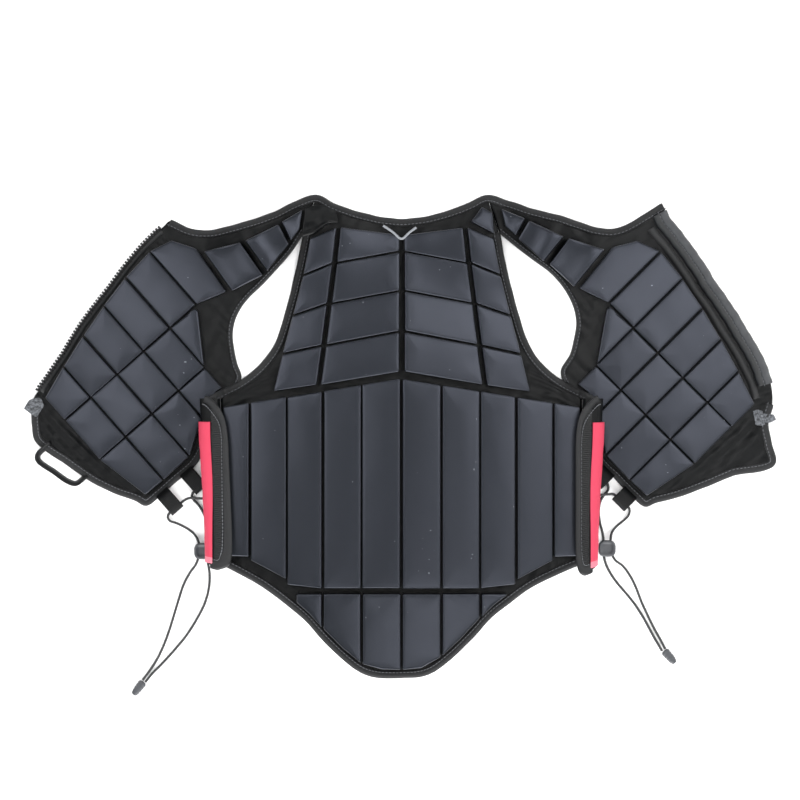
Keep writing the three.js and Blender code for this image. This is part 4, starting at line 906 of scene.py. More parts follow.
# %% Back foam
YOKE_ROWS = ((0.4425, 0.459, 0.434), (0.405, 0.3795, 0.352), (0.319, 0.291, 0.2645),
             (0.2305, 0.2, 0.181), (0.1415, 0.1125, 0.0985))
YOKE_COLUMNS = ((0.346, 0.507), (0.368, 0.547), (0.397, 0.603), (0.426, 0.659), (0.456, 0.711))
SHOULDER_BLOCK = ((0.438, 0.5035), (0.5, 0.489), (0.51, 0.4405), (0.373, 0.4685))
LONG_BLOCKS = ((0, 0.219, -0.332, -0.332), (0.219, 0.433, -0.332, -0.332),
               (0.433, 0.632, -0.332, -0.323), (0.632, 0.837, -0.313, -0.27),
               (0.837, 0.99, -0.263, -0.261))
LONG_TOP, LONG_FALL = 0.129, 0.063
TAIL_TOP = -0.339
TAIL_SHARES = ((0, 0.5, 1), (0, 0.5, 1), (0, 0.37, 0.74))
# rise per millimetre to the right, and towards the neck, of the blocks' tops
YOKE_LEAN = {"left": (0.015, 0), "right": (-0.06, 0)}
LONG_LEAN = {"left": (0.02, 0.01, 0.025, 0.015, 0.03),
             "right": (-0.01, -0.02, -0.012, -0.03, -0.04)}
TAIL_LEAN = {"left": (0, 0.01, 0.02), "right": (-0.01, -0.03, -0.06)}
TAIL_DROOP = 0.045


def yoke_polygons(sign):
    """Quads of the inner and the outer yoke column between neighbouring row lines."""
    slip = (YOKE_GAP - BLOCK_GAP) / 2
    lines = []
    for (spine, seam, arm), (seam_out, arm_out) in zip(YOKE_ROWS, YOKE_COLUMNS):
        lines.append([
            (slip, spine * BACK_LENGTH),
            (seam_out * BACK_HALF - slip, seam * BACK_LENGTH),
            (seam_out * BACK_HALF + slip, seam * BACK_LENGTH),
            (arm_out * BACK_HALF, arm * BACK_LENGTH),
        ])
    lines = np.array(lines) * (sign, 1)
    inner = [np.array([a[0], a[1], b[1], b[0]]) for a, b in zip(lines, lines[1:])]
    outer = [np.array([a[2], a[3], b[3], b[2]]) for a, b in zip(lines, lines[1:])]
    shoulder = np.array(SHOULDER_BLOCK) * (BACK_HALF * sign, BACK_LENGTH)
    return inner, [shoulder, *outer]


def tail_polygon(sign, number):
    """A tail block: straight top, foot along the hem inside the binding."""
    inner, outer = LONG_BLOCKS[number][:2]
    xs = inner + np.array(TAIL_SHARES[number]) * (outer - inner)
    xs = xs * BACK_HALF * sign
    step = 8.0
    slope = (hem_height(xs + step) - hem_height(xs - step)) / (2 * step)
    feet = hem_height(xs) + (BINDING + EDGE_CLEAR) * np.hypot(1, slope)
    top = TAIL_TOP * BACK_LENGTH
    return np.array([(xs[0], top), (xs[-1], top), *zip(xs[::-1], feet[::-1])])


for side_name, side in SIDES.items():
    sign = side["sign"]
    inner, outer = yoke_polygons(sign)
    lean = np.array(YOKE_LEAN[side_name])
    add_foam(f"yoke_inner_{side_name}", inner, back_height, tilts=[lean] * 4)
    add_foam(f"yoke_outer_{side_name}", outer, back_height, tilts=[lean] * 5)
    for number, (near, far, near_foot, far_foot) in enumerate(LONG_BLOCKS):
        tops = [BACK_LENGTH * (LONG_TOP - LONG_FALL * out) for out in (near, far)]
        quad = np.array([
            (near * BACK_HALF, tops[0]), (far * BACK_HALF, tops[1]),
            (far * BACK_HALF, far_foot * BACK_LENGTH), (near * BACK_HALF, near_foot * BACK_LENGTH),
        ]) * (sign, 1)
        add_foam(f"long_block_{side_name}_{number + 1}", [quad], back_height,
                 tilts=[(LONG_LEAN[side_name][number], 0)])
    for number in range(3):
        add_foam(f"tail_block_{side_name}_{number + 1}", [tail_polygon(sign, number)], back_height,
                 tilts=[(TAIL_LEAN[side_name][number], TAIL_DROOP)])
print("back foam pieces:", 2 * (2 + 5 + 3))

# %% [markdown]
# ### Foam of the fronts
# Each front has a wedge column beside the zip, a middle column and a side column in
# common rows, and three blocks over the shoulder strap. The side column runs in under
# the back. A boolean could cut it there, but a polygon is easily clipped at the back's
# side before it becomes a block, and the block keeps its rounded edge.

# %% Front foam
STRAP_ROWS = (
    ((0.05, 0.022, 0.093, 0.125), (0.119, -0.045, 0.135, 0.135)),
    ((0.126, -0.05, 0.141, 0.137), (0.226, -0.15, 0.236, 0.18)),
    ((0.234, -0.155, 0.247, 0.198), (0.327, -0.31, 0.341, 0.112)),
)
TOP_BLOCK = ((0.3335, -0.36, 0.3485, 0.09), (0.369, -0.55, 0.379, 0.06))
CORNER_BLOCK = ((0.44, 0.012), (0.44, 0.05))
OUTER_FOOT = 0.872
TIP_Y = 52.0
# lean of the three strap blocks, from the shoulder down: outwards and towards the neck
STRAP_LEAN = ((0.07, 0.03), (0.1, 0.05), (0.02, 0))
side_table = np.array([(row[2], row[3]) for row in FRONT_SECTIONS[ARMHOLE_ROW:]])


def side_across(along):
    """Across value of the side column's outer edge, inside the binding."""
    return np.interp(along, *side_table.T) - (BINDING + EDGE_CLEAR) / FRONT_WIDTH


def clip_outside(polygon, limit):
    """Cuts a polygon at |x| = limit and keeps the outer part, side by side."""
    kept = []
    for a, b in zip(polygon, np.roll(polygon, -1, axis=0)):
        a_out, b_out = abs(a[0]) >= limit, abs(b[0]) >= limit
        if a_out:
            kept.append(a)
        if a_out != b_out:
            share = (limit - abs(a[0])) / (abs(b[0]) - abs(a[0]))
            kept.append(a + share * (b - a))
    return np.array(kept)


def front_polygons(side):
    """Blocks of the three columns and the strap, as polygons in the plane."""

    def at(along, across):
        return front_point(side, along * FRONT_LENGTH, across * FRONT_WIDTH)

    def wedge(along):
        return -(zip_column(along * FRONT_LENGTH) + side["wedge"]) / FRONT_WIDTH

    arm = catmull(front_edges(side)[1], np.linspace(0, ARMHOLE_ROW - 0.5, 120))
    arm_along, arm_across = front_frame(side, arm[:, 0], arm[:, 1])

    def beside_armhole(along, across):
        limit = np.interp(along * FRONT_LENGTH, arm_along, arm_across) - ARM_TAPE - ARM_CLEAR
        return min(across, limit / FRONT_WIDTH)

    def quad(a, b, low, high):
        return np.array([at(a, low(a)), at(a, high(a)), at(b, high(b)), at(b, low(b))])

    rows = list(zip(FRONT_ROWS, FRONT_ROWS[1:]))
    zero, middle = (lambda along: 0.0), (lambda along: MIDDLE_COLUMN)
    first = FRONT_ROWS[0]
    (a0, z0, s0, w0), (a1, z1, s1, w1) = TOP_BLOCK
    top = np.array([at(a0, z0), at(s0, w0), at(s1, w1), at(first, 0), at(first, wedge(first)),
                    at(a1, z1)])
    corner = np.array([at(*CORNER_BLOCK[0]), at(*CORNER_BLOCK[1]),
                       at(FRONT_ROWS[1], MIDDLE_COLUMN), at(FRONT_ROWS[1], 0)])
    columns = {
        1: [top, *(quad(a, b, wedge, zero) for a, b in rows)],
        2: [corner, *(quad(a, b, zero, middle) for a, b in rows[1:])],
        3: [quad(a, b, middle, side_across) for a, b in rows[1:]],
    }
    columns[3][-1][2] = at(OUTER_FOOT, side_across(OUTER_FOOT))
    first = columns[3][0]
    under_tip = np.array([side["sign"] * BACK_SIDE, TIP_Y])
    columns[3] = [np.array([first[0], first[1], under_tip, first[2], first[3]]),
                  *(clip_outside(block, BACK_SIDE) for block in columns[3][1:])]
    strap = [np.array([at(a, b), at(c, beside_armhole(c, d)), at(g, beside_armhole(g, h)),
                       at(e, f)]) for (a, b, c, d), (e, f, g, h) in STRAP_ROWS]
    return columns, strap


for side_name, side in SIDES.items():
    columns, strap = front_polygons(side)
    for number, polygons in columns.items():
        kept = [polygon for polygon in polygons if len(polygon) > 2]
        add_foam(f"front_column_{side_name}_{number}", kept, front_height, slack=-0.6)
    leans = [(side["sign"] * out, up) for out, up in STRAP_LEAN]
    add_foam(f"strap_pad_{side_name}", strap, front_height, tilts=leans)
print("front foam pieces:", 8)

# %% [markdown]
# ## Nylon shells
# The shell is one thin cloth under all foam. It shows at the armholes, the hem corners
# and beside the zip, where it puckers. A cloth simulation could wrinkle it, but it lies
# flat and is sewn to the foam, so the folds are computed in the surface itself. Masks
# between 0 and 1 keep them where no block holds the cloth down.


# %% Shells
def add_shell(name, xy, height, pucker):
    """Closed wall of cloth over a grid of places; pucker lifts its upper face."""
    x, y = xy[..., 0], xy[..., 1]
    under = height(x, y) + 0.1
    top = np.concatenate([xy, (under + WALL + pucker)[..., None]], -1)
    bottom = np.concatenate([xy, under[..., None]], -1)
    piece = make_mesh(f"cloth_{name}", *closed_sheet(top, bottom), [NYLON])
    return place(piece, "shell_cloth", name)


def flat_size(xy):
    """Mean width and length of a grid of places, and its area, in metres."""
    across = np.linalg.norm(np.diff(xy, axis=1), axis=-1).sum(1).mean()
    down = np.linalg.norm(np.diff(xy, axis=0), axis=-1).sum(0).mean()
    u, v = np.diff(xy, axis=1)[:-1], np.diff(xy, axis=0)[:, :-1]
    area = np.abs(u[..., 0] * v[..., 1] - u[..., 1] * v[..., 0]).sum()
    return (across * MM, down * MM), area * MM * MM


def back_grid(columns=161, upper=90, lower=110):
    """Rows between the sections above the side tips, then rows that slide down to the
    hem: x = share x edge, y = spine + (edge - spine) x |share|^bow."""
    share = np.linspace(-1, 1, columns)
    places = np.linspace(0, len(BACK_EDGE) - 1, upper)
    section = catmull(BACK_SECTIONS, places)
    edge = catmull(BACK_EDGE, places)
    spine = section[:, 2:3] * BACK_LENGTH
    bend = np.abs(share)[None] ** section[:, 3:4]
    x = share[None] * edge[:, :1]
    y = spine + (edge[:, 1:] - spine) * bend
    down = np.linspace(0, 1, lower + 1)[1:, None]
    low_x = np.broadcast_to(x[-1], (lower, columns))
    low_y = y[-1] + down * (hem_height(x[-1]) - y[-1])
    return np.stack([np.vstack([x, low_x]), np.vstack([y, low_y])], -1)


ARMPIT_Y, ARMPIT_SPAN = 62.0, 60.0
TAIL_SIDE_Y, TAIL_SIDE_SPAN = -165.0, 50.0
DEEPEST_HOLLOW = -0.4

back_xy = back_grid()
x, y = back_xy[..., 0], back_xy[..., 1]
edge_near = smooth_step((np.abs(x) - 0.62 * BACK_HALF) / (0.3 * BACK_HALF))
armpit = smooth_step(1 - np.abs(y - ARMPIT_Y) / ARMPIT_SPAN)
tail_side = smooth_step(1 - np.abs(y - TAIL_SIDE_Y) / TAIL_SIDE_SPAN)
slanted = y + 0.5 * np.abs(x)
pucker = 2.4 * folds(slanted, np.abs(x), 6.5, 11) * edge_near * armpit
pucker += 1.6 * soft_folds(x, y, 14, 12) * edge_near * tail_side
pucker += 0.3 * waves(x, y, 18, 5)
back_shell = add_shell("back_shell", back_xy, back_height, np.maximum(pucker, DEEPEST_HOLLOW))
print("back shell:", round(area, 3), "m2")

# %% [markdown]
# ### Shells of the fronts
# A front's rows run from the zip to the side edge and stop a little way in under the
# back. The sharpest folds gather in the channel beside the zip, softer ones at the
# armhole and in the hem's corner.

# %% Shells of the fronts
TIP_UNDERLAP = 4.0
PROBES = 400


def front_grid(side, rows=150, columns=70):
    """Straight rows from the zip's edge to the side edge; a row stops where the back
    begins to cover it."""
    zips, edges = front_edges(side)
    places = np.linspace(0, len(zips) - 1, rows)
    a, b = catmull(zips, places)[:, None], catmull(edges, places)[:, None]
    line = a + (b - a) * np.linspace(0, 1, PROBES)[None, :, None]
    above_tip = line[..., 1] > BACK_TIP[1]
    clear = np.where(above_tip, -TIP_UNDERLAP, UNDER_CLEAR)
    hidden = inside_back(line[..., 0], line[..., 1], clear)
    # the rows of the strap, and the third of each row by the zip, never run under it
    hidden[:, : int(PROBES * 0.3)] = False
    hidden[: int(rows * 0.3)] = False
    stop = np.where(hidden.any(1), hidden.argmax(1) / (PROBES - 1), 1.0)
    share = np.linspace(0, 1, columns)[None, :, None] * stop[:, None, None]
    return a + (b - a) * share


for side_name, side in SIDES.items():
    xy = front_grid(side)
    rows, columns = xy.shape[:2]
    down = np.linspace(0, 1, rows)[:, None]
    across = np.linspace(0, 1, columns)[None]
    x, y = xy[..., 0], xy[..., 1]
    zip_channel = smooth_step((0.2 - across) / 0.12) * smooth_step((down - 0.3) / 0.08)
    armpit = smooth_step((across - 0.72) / 0.15) * smooth_step((0.62 - down) / 0.1)
    armpit = armpit * smooth_step((down - 0.22) / 0.08)
    corner = smooth_step((down - 0.83) / 0.06)
    pucker = 2.6 * folds(down * 420 + across * 110, across * 140, 7.5, 21) * zip_channel
    pucker = pucker + 0.8 * soft_folds(x + y, x - y, 18, 23) * armpit
    pucker = pucker + 2.8 * soft_folds(down * 420, across * 100, 32, 24) * corner
    pucker = np.maximum(pucker + 0.3 * waves(x, y, 16, 7), DEEPEST_HOLLOW)
    shell = add_shell(f"front_shell_{side_name}", xy, front_height, pucker)
    print(side_name, "front shell:", round(area, 4), "m2")

# %% [markdown]
# ### Nylon over the left shoulder block
# At the left shoulder the nylon folds down over the first block and hides most of it.
# It is a second small sheet, because one surface can't lie both under and over the foam.

# %% Nylon over the left shoulder block
SHOULDER_FLAP_TOP = [(-110, 263), (-95, 267), (-76, 261)]
SHOULDER_FLAP_FOOT = [(-114.5, 229.5), (-101.8, 233.5), (-84, 245), (-72.5, 246)]
SHOULDER_FLAP_WALL = 1.2


def between_lines(upper, lower, columns, rows):
    """Grid of places between two smooth lines, in straight steps from one to the other."""
    first = catmull(upper, np.linspace(0, len(upper) - 1, columns))
    last = catmull(lower, np.linspace(0, len(lower) - 1, columns))
    return first[None] + np.linspace(0, 1, rows)[:, None, None] * (last - first)[None]


def scrap(xy, z, wall):
    """Wall of the given thickness below a grid of places and its heights."""
    top = np.concatenate([xy, z[..., None]], -1)
    return closed_sheet(top, top - (0, 0, wall))


def add_shoulder_flap():
    """Bulged by noise in its middle and raised along its free lower fold."""
    xy = between_lines(SHOULDER_FLAP_TOP, SHOULDER_FLAP_FOOT, 40, 30)
    x, y = xy[..., 0], xy[..., 1]
    down = np.linspace(0, 1, 30)[:, None]
    fold = smooth_step((down - 0.8) / 0.12) * smooth_step((1 - down) / 0.08)
    z = back_height(x, y) + FOAM_TOP + 1.6 + 0.7 * waves(x, y, 22, 81) + 1.4 * fold
    piece = make_mesh("cloth_shoulder_flap", *scrap(xy, z, SHOULDER_FLAP_WALL), [NYLON])
    place(piece, "shell_cloth")
    size, area = flat_size(xy)
    return area


print("shoulder flap:", round(add_shoulder_flap(), 4), "m2")

# %% [markdown]
# ## Bindings
# All raw edges are bound with a folded woven tape, sewn down with one row of stitches.
# A curve with a bevel object could make it, but a profile swept by formula follows the
# cloth's height and gets a UV map that runs along the tape. Each stitch is a small sunken
# capsule, and one array holds all of an edge's stitches.

# %% Bindings
BIND_PROFILE = np.array([
    (-0.2, 0.15), (-1.3, 0.9), (-1.7, 2.3), (-1.4, 3.8), (-0.2, 5.0), (1.6, 5.5), (3.6, 5.4),
    (4.6, 4.95), (5.6, 5.2), (6.6, 4.9), (7.2, 4.2), (7.3, 3.2), (7.0, 2.4), (3.5, 1.4),
])
STITCH_LENGTH = 3.0
STITCH_PITCH = 4.2
STITCH_THICK = 0.9
# where the row of stitches runs, inwards and up in the profile
SEAM_IN, SEAM_UP = 5.2, 5.15


def capsules(centre, tangent, left, length, thick):
    """Places and lifts of a capsule at every centre, as (stitch, ring, corner): rings of
    radius sqrt(1 - t^4) for t from -1 to 1 along the tangent."""
    t = np.linspace(-1, 1, 5)
    radius = thick / 2 * np.sqrt(np.clip(1 - t**4, 0.06, 1))
    angle = np.arange(6) / 6 * 2 * np.pi
    along = tangent[:, None, None] * (t * length / 2)[None, :, None, None]
    aside = left[:, None, None] * (radius[:, None] * np.cos(angle))[None, ..., None]
    return centre[:, None, None] + along + aside, (radius[:, None] * np.sin(angle))[None]


def stitches(path, inwards, up, height):
    """One row of capsules beside a path, at a level above the ground there."""
    run = spaced(path[:, :2], STITCH_PITCH)
    tangent, left = path_frames(run)
    xy, lift = capsules(run + left * inwards, tangent, left, STITCH_LENGTH, STITCH_THICK)
    z = height(xy[..., 0], xy[..., 1]) + up + lift
    return repeated_tubes(np.concatenate([xy, z[..., None]], -1))


def add_binding(name, path, height, inwards, seed, wide=1.0):
    """Tape and stitches of one edge; inwards is +1 where the cloth lies to the left, and
    wide is the tape's share of the usual width."""
    path = spaced(path, 2.5)
    profile = BIND_PROFILE * (inwards * wide, 1)
    body = sweep(path, profile, height, sway=0.45, seed=seed)
    thread = stitches(path, inwards * wide * SEAM_IN, SEAM_UP, height)
    kinds = np.r_[np.zeros(len(body[1])), np.ones(len(thread[1]))]
    points, quads = join([body, thread])
    arc = np.r_[0, np.cumsum(np.linalg.norm(np.diff(path, axis=0), axis=1))]
    arc = np.r_[arc[:1], arc, arc[-1:]]
    around = np.r_[0, np.cumsum(np.linalg.norm(np.diff(BIND_PROFILE, axis=0), axis=1))]
    uv = np.stack(np.meshgrid(around, arc), -1).reshape(-1, 2)
    uv = np.vstack([uv, np.zeros((len(thread[0]), 2))])
    piece = make_mesh(f"tape_{name}", points, quads, [TAPE, THREAD], kinds, uv)
    return place(piece, "binding", name)


def both_heights(x, y):
    """Underside of whichever panel a neckline point belongs to."""
    return np.where(np.abs(x) > SHOULDER_HALF, front_height(x, y), back_height(x, y))


def neck_path():
    """From the left zip over both shoulders to the right zip."""
    across = np.linspace(-1, 1, 11)
    out, up, spine, bow = BACK_SECTIONS[0]
    y = BACK_LENGTH * (spine + (up - spine) * np.abs(across) ** bow)
    back = np.stack([across * SHOULDER_HALF, y], -1)
    left = front_edges(SIDES["left"])[0][1 : CORNER_ROW + 1][::-1]
    right = front_edges(SIDES["right"])[0][1 : CORNER_ROW + 1]
    return np.vstack([left, back, right])


add_binding("neck_binding", neck_path(), both_heights, inwards=-1, seed=31)
hem_x = np.linspace(-BACK_HALF, BACK_HALF, 60)
hem_path = np.stack([hem_x, hem_height(hem_x)], -1)
add_binding("hem_binding", hem_path, back_height, inwards=1, seed=32)
for side_name, side in SIDES.items():
    sign = side["sign"]
    zips, edges = front_edges(side)
    back = (np.vstack([BACK_EDGE[1:], BACK_TIP]) * (sign, 1))[::-1]
    add_binding(f"armhole_binding_back_{side_name}", back, tip_height, inwards=sign, seed=33)
    arm = catmull(edges, np.linspace(0, ARMHOLE_ROW + 0.8, 64))
    shown = ~inside_back(arm[:, 0], arm[:, 1], clear=-2)
    # the half of the armhole by the strap is never covered
    shown[:30] = True
    add_binding(f"armhole_binding_front_{side_name}", arm[shown], front_height, inwards=sign,
                seed=34, wide=ARM_TAPE / BINDING)
    low = catmull(edges, np.linspace(SIDE_ROW, len(edges) - 1, 60))
    low = low[~inside_back(low[:, 0], low[:, 1], clear=3)]
    corner_path = np.vstack([low, zips[-4:][::-1]])
    add_binding(f"front_hem_binding_{side_name}", corner_path, front_height, inwards=sign, seed=35)
print("bindings: 8")

# %% [markdown]
# ## Side flaps
# At each side of the back a cloth flap curls up and in, and shows its outer face: a red
# strip outermost, a gathered band with fine ribs, a row of stitches and a bound edge with
# rounded corners. A plane bent by modifiers could curl so, but one section carried down
# the flap's length gives every part of it the same two coordinates: around and down.

# %% Shape of a side flap
FLAP_CURL = 19.0
FLAP_TAPER = 0.36
# out, foam, curl from the back's edge to past the free edge
FLAP_SECTION = np.array([
    (FLAP_ROOT, 0.06, 0), (0.1, 0.55, 0), (0.16, 1, 0.1), (0.48, 1, 0.28), (0.88, 1, 0.42),
    (1, 1, 0.66), (0.86, 1, 0.9), (0.46, 1, 1.02), (0, 1, 1.05), (-0.32, 1, 0.99),
    (-0.62, 1, 0.88),
])
# the free edge lies at this row of the section
FLAP_FREE_ROW = 9
# share of the way down, share of the section that the flap reaches there
FLAP_ENDS = np.array([(0, 0.74), (0.06, 0.87), (0.13, 0.96), (0.2, 1), (0.86, 1), (0.93, 0.985),
                      (0.97, 0.95), (1, 0.88)])
# cloth laid flat: its length round the section and down the back's side
flap_line = np.stack([
    BACK_HALF + FLAP_SECTION[:, 0] * FLAP_REACH,
    FLAP_SECTION[:, 1] * FOAM_TOP + FLAP_SECTION[:, 2] * FLAP_CURL + FLAP_WALL / 2,
], -1)


def flap_point(side, around, down, lift):
    """A place on the flap: the section's curve at around, moved out along its normal by
    lift, at the height down its length. Towards the foot the bulge loses a share of its
    reach, and the free edge leans inwards."""
    around, down, lift = np.broadcast_arrays(around, down, lift)
    place_at = around * FLAP_FREE_ROW
    point = catmull(flap_line, place_at)
    slope = catmull(flap_line, place_at + 0.02) - catmull(flap_line, place_at - 0.02)
    slope /= np.linalg.norm(slope, axis=-1, keepdims=True)
    top = FLAP_TOP * BACK_LENGTH
    foot = (FLAP_FOOT - side["foot_drop"] * np.clip(around, 0, 1)) * BACK_LENGTH
    beyond = (point[..., 0] - BACK_HALF) / FLAP_REACH
    lost = FLAP_REACH * FLAP_TAPER * np.clip(beyond, 0, 1)
    lost = (lost + side["lean"] * np.clip(-4 * beyond, 0, 1)) * smooth_step(down)
    x = side["sign"] * (point[..., 0] - lost + slope[..., 1] * lift)
    z = point[..., 1] - slope[..., 0] * lift
    return np.stack([x, top + down * (foot - top), z], -1)


def grid_area(grid):
    """Area of a grid of places in square metres: half cross products summed."""
    u, v = np.diff(grid, axis=1)[:-1], np.diff(grid, axis=0)[:, :-1]
    return np.linalg.norm(np.cross(u, v), axis=-1).sum() * MM * MM


print("flap section rows:", len(FLAP_SECTION))

# %% [markdown]
# ### Curled cloth and gathered band
# The gathered band is part of the flap's cloth: fine ribs across it, pulled in by its
# seams. They are real ridges in a fine grid, because a bump map alone looks flat where
# the curl turns towards the light.

# %% Curled cloth and gathered band
RIBS = 90
BAND_FROM, BAND_TO = 0.775, 0.93


def add_flap(side_name, side):
    """The curled cloth itself, with ribs raised on its gathered band."""
    rows, columns = 700, 72
    down = np.linspace(0, 1, rows)[:, None]
    around = np.linspace(0, 1, columns)[None] * np.interp(down, *FLAP_ENDS.T)
    ribs = np.abs(np.sin(np.pi * down * RIBS + 0.5 * waves(down * 180, around * 60, 30, 41)))
    band = smooth_step((around - BAND_FROM) / 0.02) * smooth_step((BAND_TO - around) / 0.02)
    sag = 0.5 * waves(down * 180, around * 90, 40, 42)
    lift = FLAP_WALL / 2 + sag + band * (0.9 * ribs + 0.1)
    top = flap_point(side, around, down, lift)
    bottom = flap_point(side, around, down, sag - FLAP_WALL / 2)
    points, quads = closed_sheet(top, bottom)
    cells = (rows - 1) * (columns - 1)
    centre = 0.5 * (band[:-1, :-1] + band[1:, 1:]).ravel()
    kinds = np.zeros(len(quads))
    kinds[:cells] = centre > 0.3
    piece = make_mesh(f"cloth_side_flap_{side_name}", points, quads, [NYLON, RIBBED], kinds)
    place(piece, "shell_cloth", f"side_flap_{side_name}")
    area = grid_area(top)
    return area


# %% [markdown]
# ### Bound edge of a flap
# A narrow tape folds round the free edge and is sewn through with pale thread. Its
# profile runs in the flap's own two coordinates, so it bends with the curl by itself.

# %% Bound edge of a flap
# around and down: the free edge from the top corner to the foot
FLAP_EDGE_PATH = np.array([
    (0.7, -0.01), (0.75, 0.0), (0.87, 0.06), (0.955, 0.13), (0.995, 0.22), (1.0, 0.4),
    (1.0, 0.62), (1.0, 0.82), (0.985, 0.93), (0.94, 0.985), (0.86, 1.01), (0.78, 1.012),
    (0.7, 1.01),
])
# millimetres of the section and of the flap's length per unit of around and down
FLAP_SPAN = np.array([98.0, 190.0])
# inset, lift
FLAP_EDGE_PROFILE = np.array([
    (-1.2, -1.6), (-2.4, 0), (-1.6, 2.0), (0.4, 2.9), (4.0, 2.8), (7.2, 2.4), (8.4, 1.7),
    (8.4, 0.2), (6, -0.4), (3, -1.6),
])
FLAP_SEAM_IN, FLAP_SEAM_UP = 8.9, 2.2
FLAP_STITCH_PITCH, FLAP_STITCH_THICK = 4.0, 1.0
# the tape narrows by a quarter over the first of its run
NARROW_BY, NARROW_RUN = 0.25, 60.0


def add_flap_edge(side_name, side):
    """Folded tape and its stitches, laid out in millimetres of the flattened flap and
    then put on its curl."""

    def on_flap(plane, lift):
        share = plane / FLAP_SPAN
        return flap_point(side, share[..., 0], share[..., 1], lift)

    path = spaced(FLAP_EDGE_PATH * FLAP_SPAN, 1.6)
    _, left = path_frames(path)
    wide = 1.0 - NARROW_BY * smooth_step((NARROW_RUN - path[:, 1]) / NARROW_RUN)
    inset = FLAP_EDGE_PROFILE[None, :, 0] * wide[:, None]
    plane = path[:, None] + left[:, None] * inset[..., None]
    tape = capped(on_flap(plane, FLAP_EDGE_PROFILE[None, :, 1]))
    run = spaced(FLAP_EDGE_PATH * FLAP_SPAN, FLAP_STITCH_PITCH)
    tangent, left = path_frames(run)
    plane, lift = capsules(run + left * FLAP_SEAM_IN, tangent, left, STITCH_LENGTH,
                           FLAP_STITCH_THICK)
    thread = repeated_tubes(on_flap(plane, FLAP_SEAM_UP + lift))
    kinds = np.r_[np.zeros(len(tape[1])), np.ones(len(thread[1]))]
    piece = make_mesh(f"flap_edge_{side_name}", *join([tape, thread]), [EDGE, THREAD], kinds)
    return place(piece, "binding")


# %% [markdown]
# ### Red strip
# The strip is a bright band sewn round the outside of the curl. It is a thin padded wall
# of its own, slightly crowned and rippled, so that its edges stand off the dark cloth.

# %% Red strip
RED_FROM, RED_WIDE, RED_NARROWING = 0.525, 0.245, 0.03
RED_TOP, RED_FOOT = 0.14, 0.99
PALE_END = 0.955


def add_red(side_name, side):
    """A slightly crowned band round the outside of the curl, with a short pale folded
    end at its foot."""
    rows, columns = 120, 14
    down = np.linspace(RED_TOP, RED_FOOT, rows)[:, None]
    across = np.linspace(0, 1, columns)[None]
    drift = 0.008 * waves(down * 180, down * 0, 60, 51)
    wide = RED_WIDE - RED_NARROWING * smooth_step((down - 0.6) / 0.4)
    around = RED_FROM + drift + across * wide
    puff = 1.6 + 0.8 * np.sqrt(np.clip(1 - (2 * across - 1) ** 4, 0, 1))
    ripple = 0.25 * waves(down * 180, across * 16, 14, 52)
    lift = FLAP_WALL / 2 + puff + ripple
    top = flap_point(side, around, down, lift)
    bottom = flap_point(side, around, down, FLAP_WALL / 2 + 0.7)
    points, quads = closed_sheet(top, bottom)
    kinds = np.zeros(len(quads))
    index = np.arange((rows - 1) * (columns - 1)) // (columns - 1)
    kinds[: len(index)] = index > (rows - 1) * PALE_END
    piece = make_mesh(f"cloth_red_strip_{side_name}", points, quads, [RED, PINK], kinds)
    return place(piece, "red_strip", f"red_strip_{side_name}")


for side_name, side in SIDES.items():
    area = add_flap(side_name, side)
    add_flap_edge(side_name, side)
    add_red(side_name, side)
    print("flap", side_name, round(area, 4), "m2")

# %% [markdown]
# ## Zip
# The left front carries the zip's moulded teeth along its edge, and a plain tape under
# them. An array modifier on a curve could repeat a tooth; here all teeth are one array of
# points, so that each follows the cloth's height.

# %% Zip
TEETH_PITCH = 4.0
TOOTH_MIDDLE = 1.2
# up, wide, long of a tooth's rings from its foot to its top
TOOTH_RINGS = ((0.2, 1.9, 4.4), (0.6, 2.4, 5), (3.2, 2.4, 5), (3.9, 1.8, 4.4))
TEETH_TAPE = [(0.8, SEAT), (0.8, SEAT + 1.6), (5.5, SEAT + 1.5), (9, SEAT + 1.4), (9, SEAT)]


def along_zip(side, proud, start, stop, steps=80):
    """A line down a front's zip edge that stands out past its cloth by a distance."""
    share = np.linspace(start, stop, steps)
    along = share * FRONT_LENGTH
    return front_point(side, along, -zip_column(along) - zip_margin(side, share) - proud)


def add_teeth():
    """Tape with a corded edge, and moulded teeth: a rounded box repeated at each pitch."""
    edge = along_zip(SIDES["left"], proud=3, start=0.372, stop=0.905)
    line = spaced(edge, TEETH_PITCH)
    tape = sweep(line, TEETH_TAPE, front_height)
    tangent, left = path_frames(line)
    box = np.array([(-1, -1), (1, -1), (1, 1), (-1, 1)]) * 0.5
    rings = []
    for up, wide, long in TOOTH_RINGS:
        along = tangent[:, None] * (box[:, 0] * wide)[None, :, None]
        across = left[:, None] * (TOOTH_MIDDLE + box[:, 1] * long)[None, :, None]
        xy = line[:, None] + along + across
        z = front_height(xy[..., 0], xy[..., 1]) + SEAT - 0.2 + up
        rings.append(np.concatenate([xy, z[..., None]], -1))
    teeth = repeated_tubes(np.stack(rings, 1))
    kinds = np.r_[np.zeros(len(tape[1])), np.ones(len(teeth[1]))]
    piece = make_mesh("zip_teeth_left", *join([tape, teeth]), [ZIP, TEETH], kinds)
    place(piece, "zip", "zip_tape_left")
    return len(line)


print("teeth:", add_teeth())

# %% [markdown]
# ### Frayed zip ends
# At both lower ends the zip's tape is worn to grey, crumpled scraps. They are small, so a
# wall between two short lines, crumpled by fine noise, is enough.

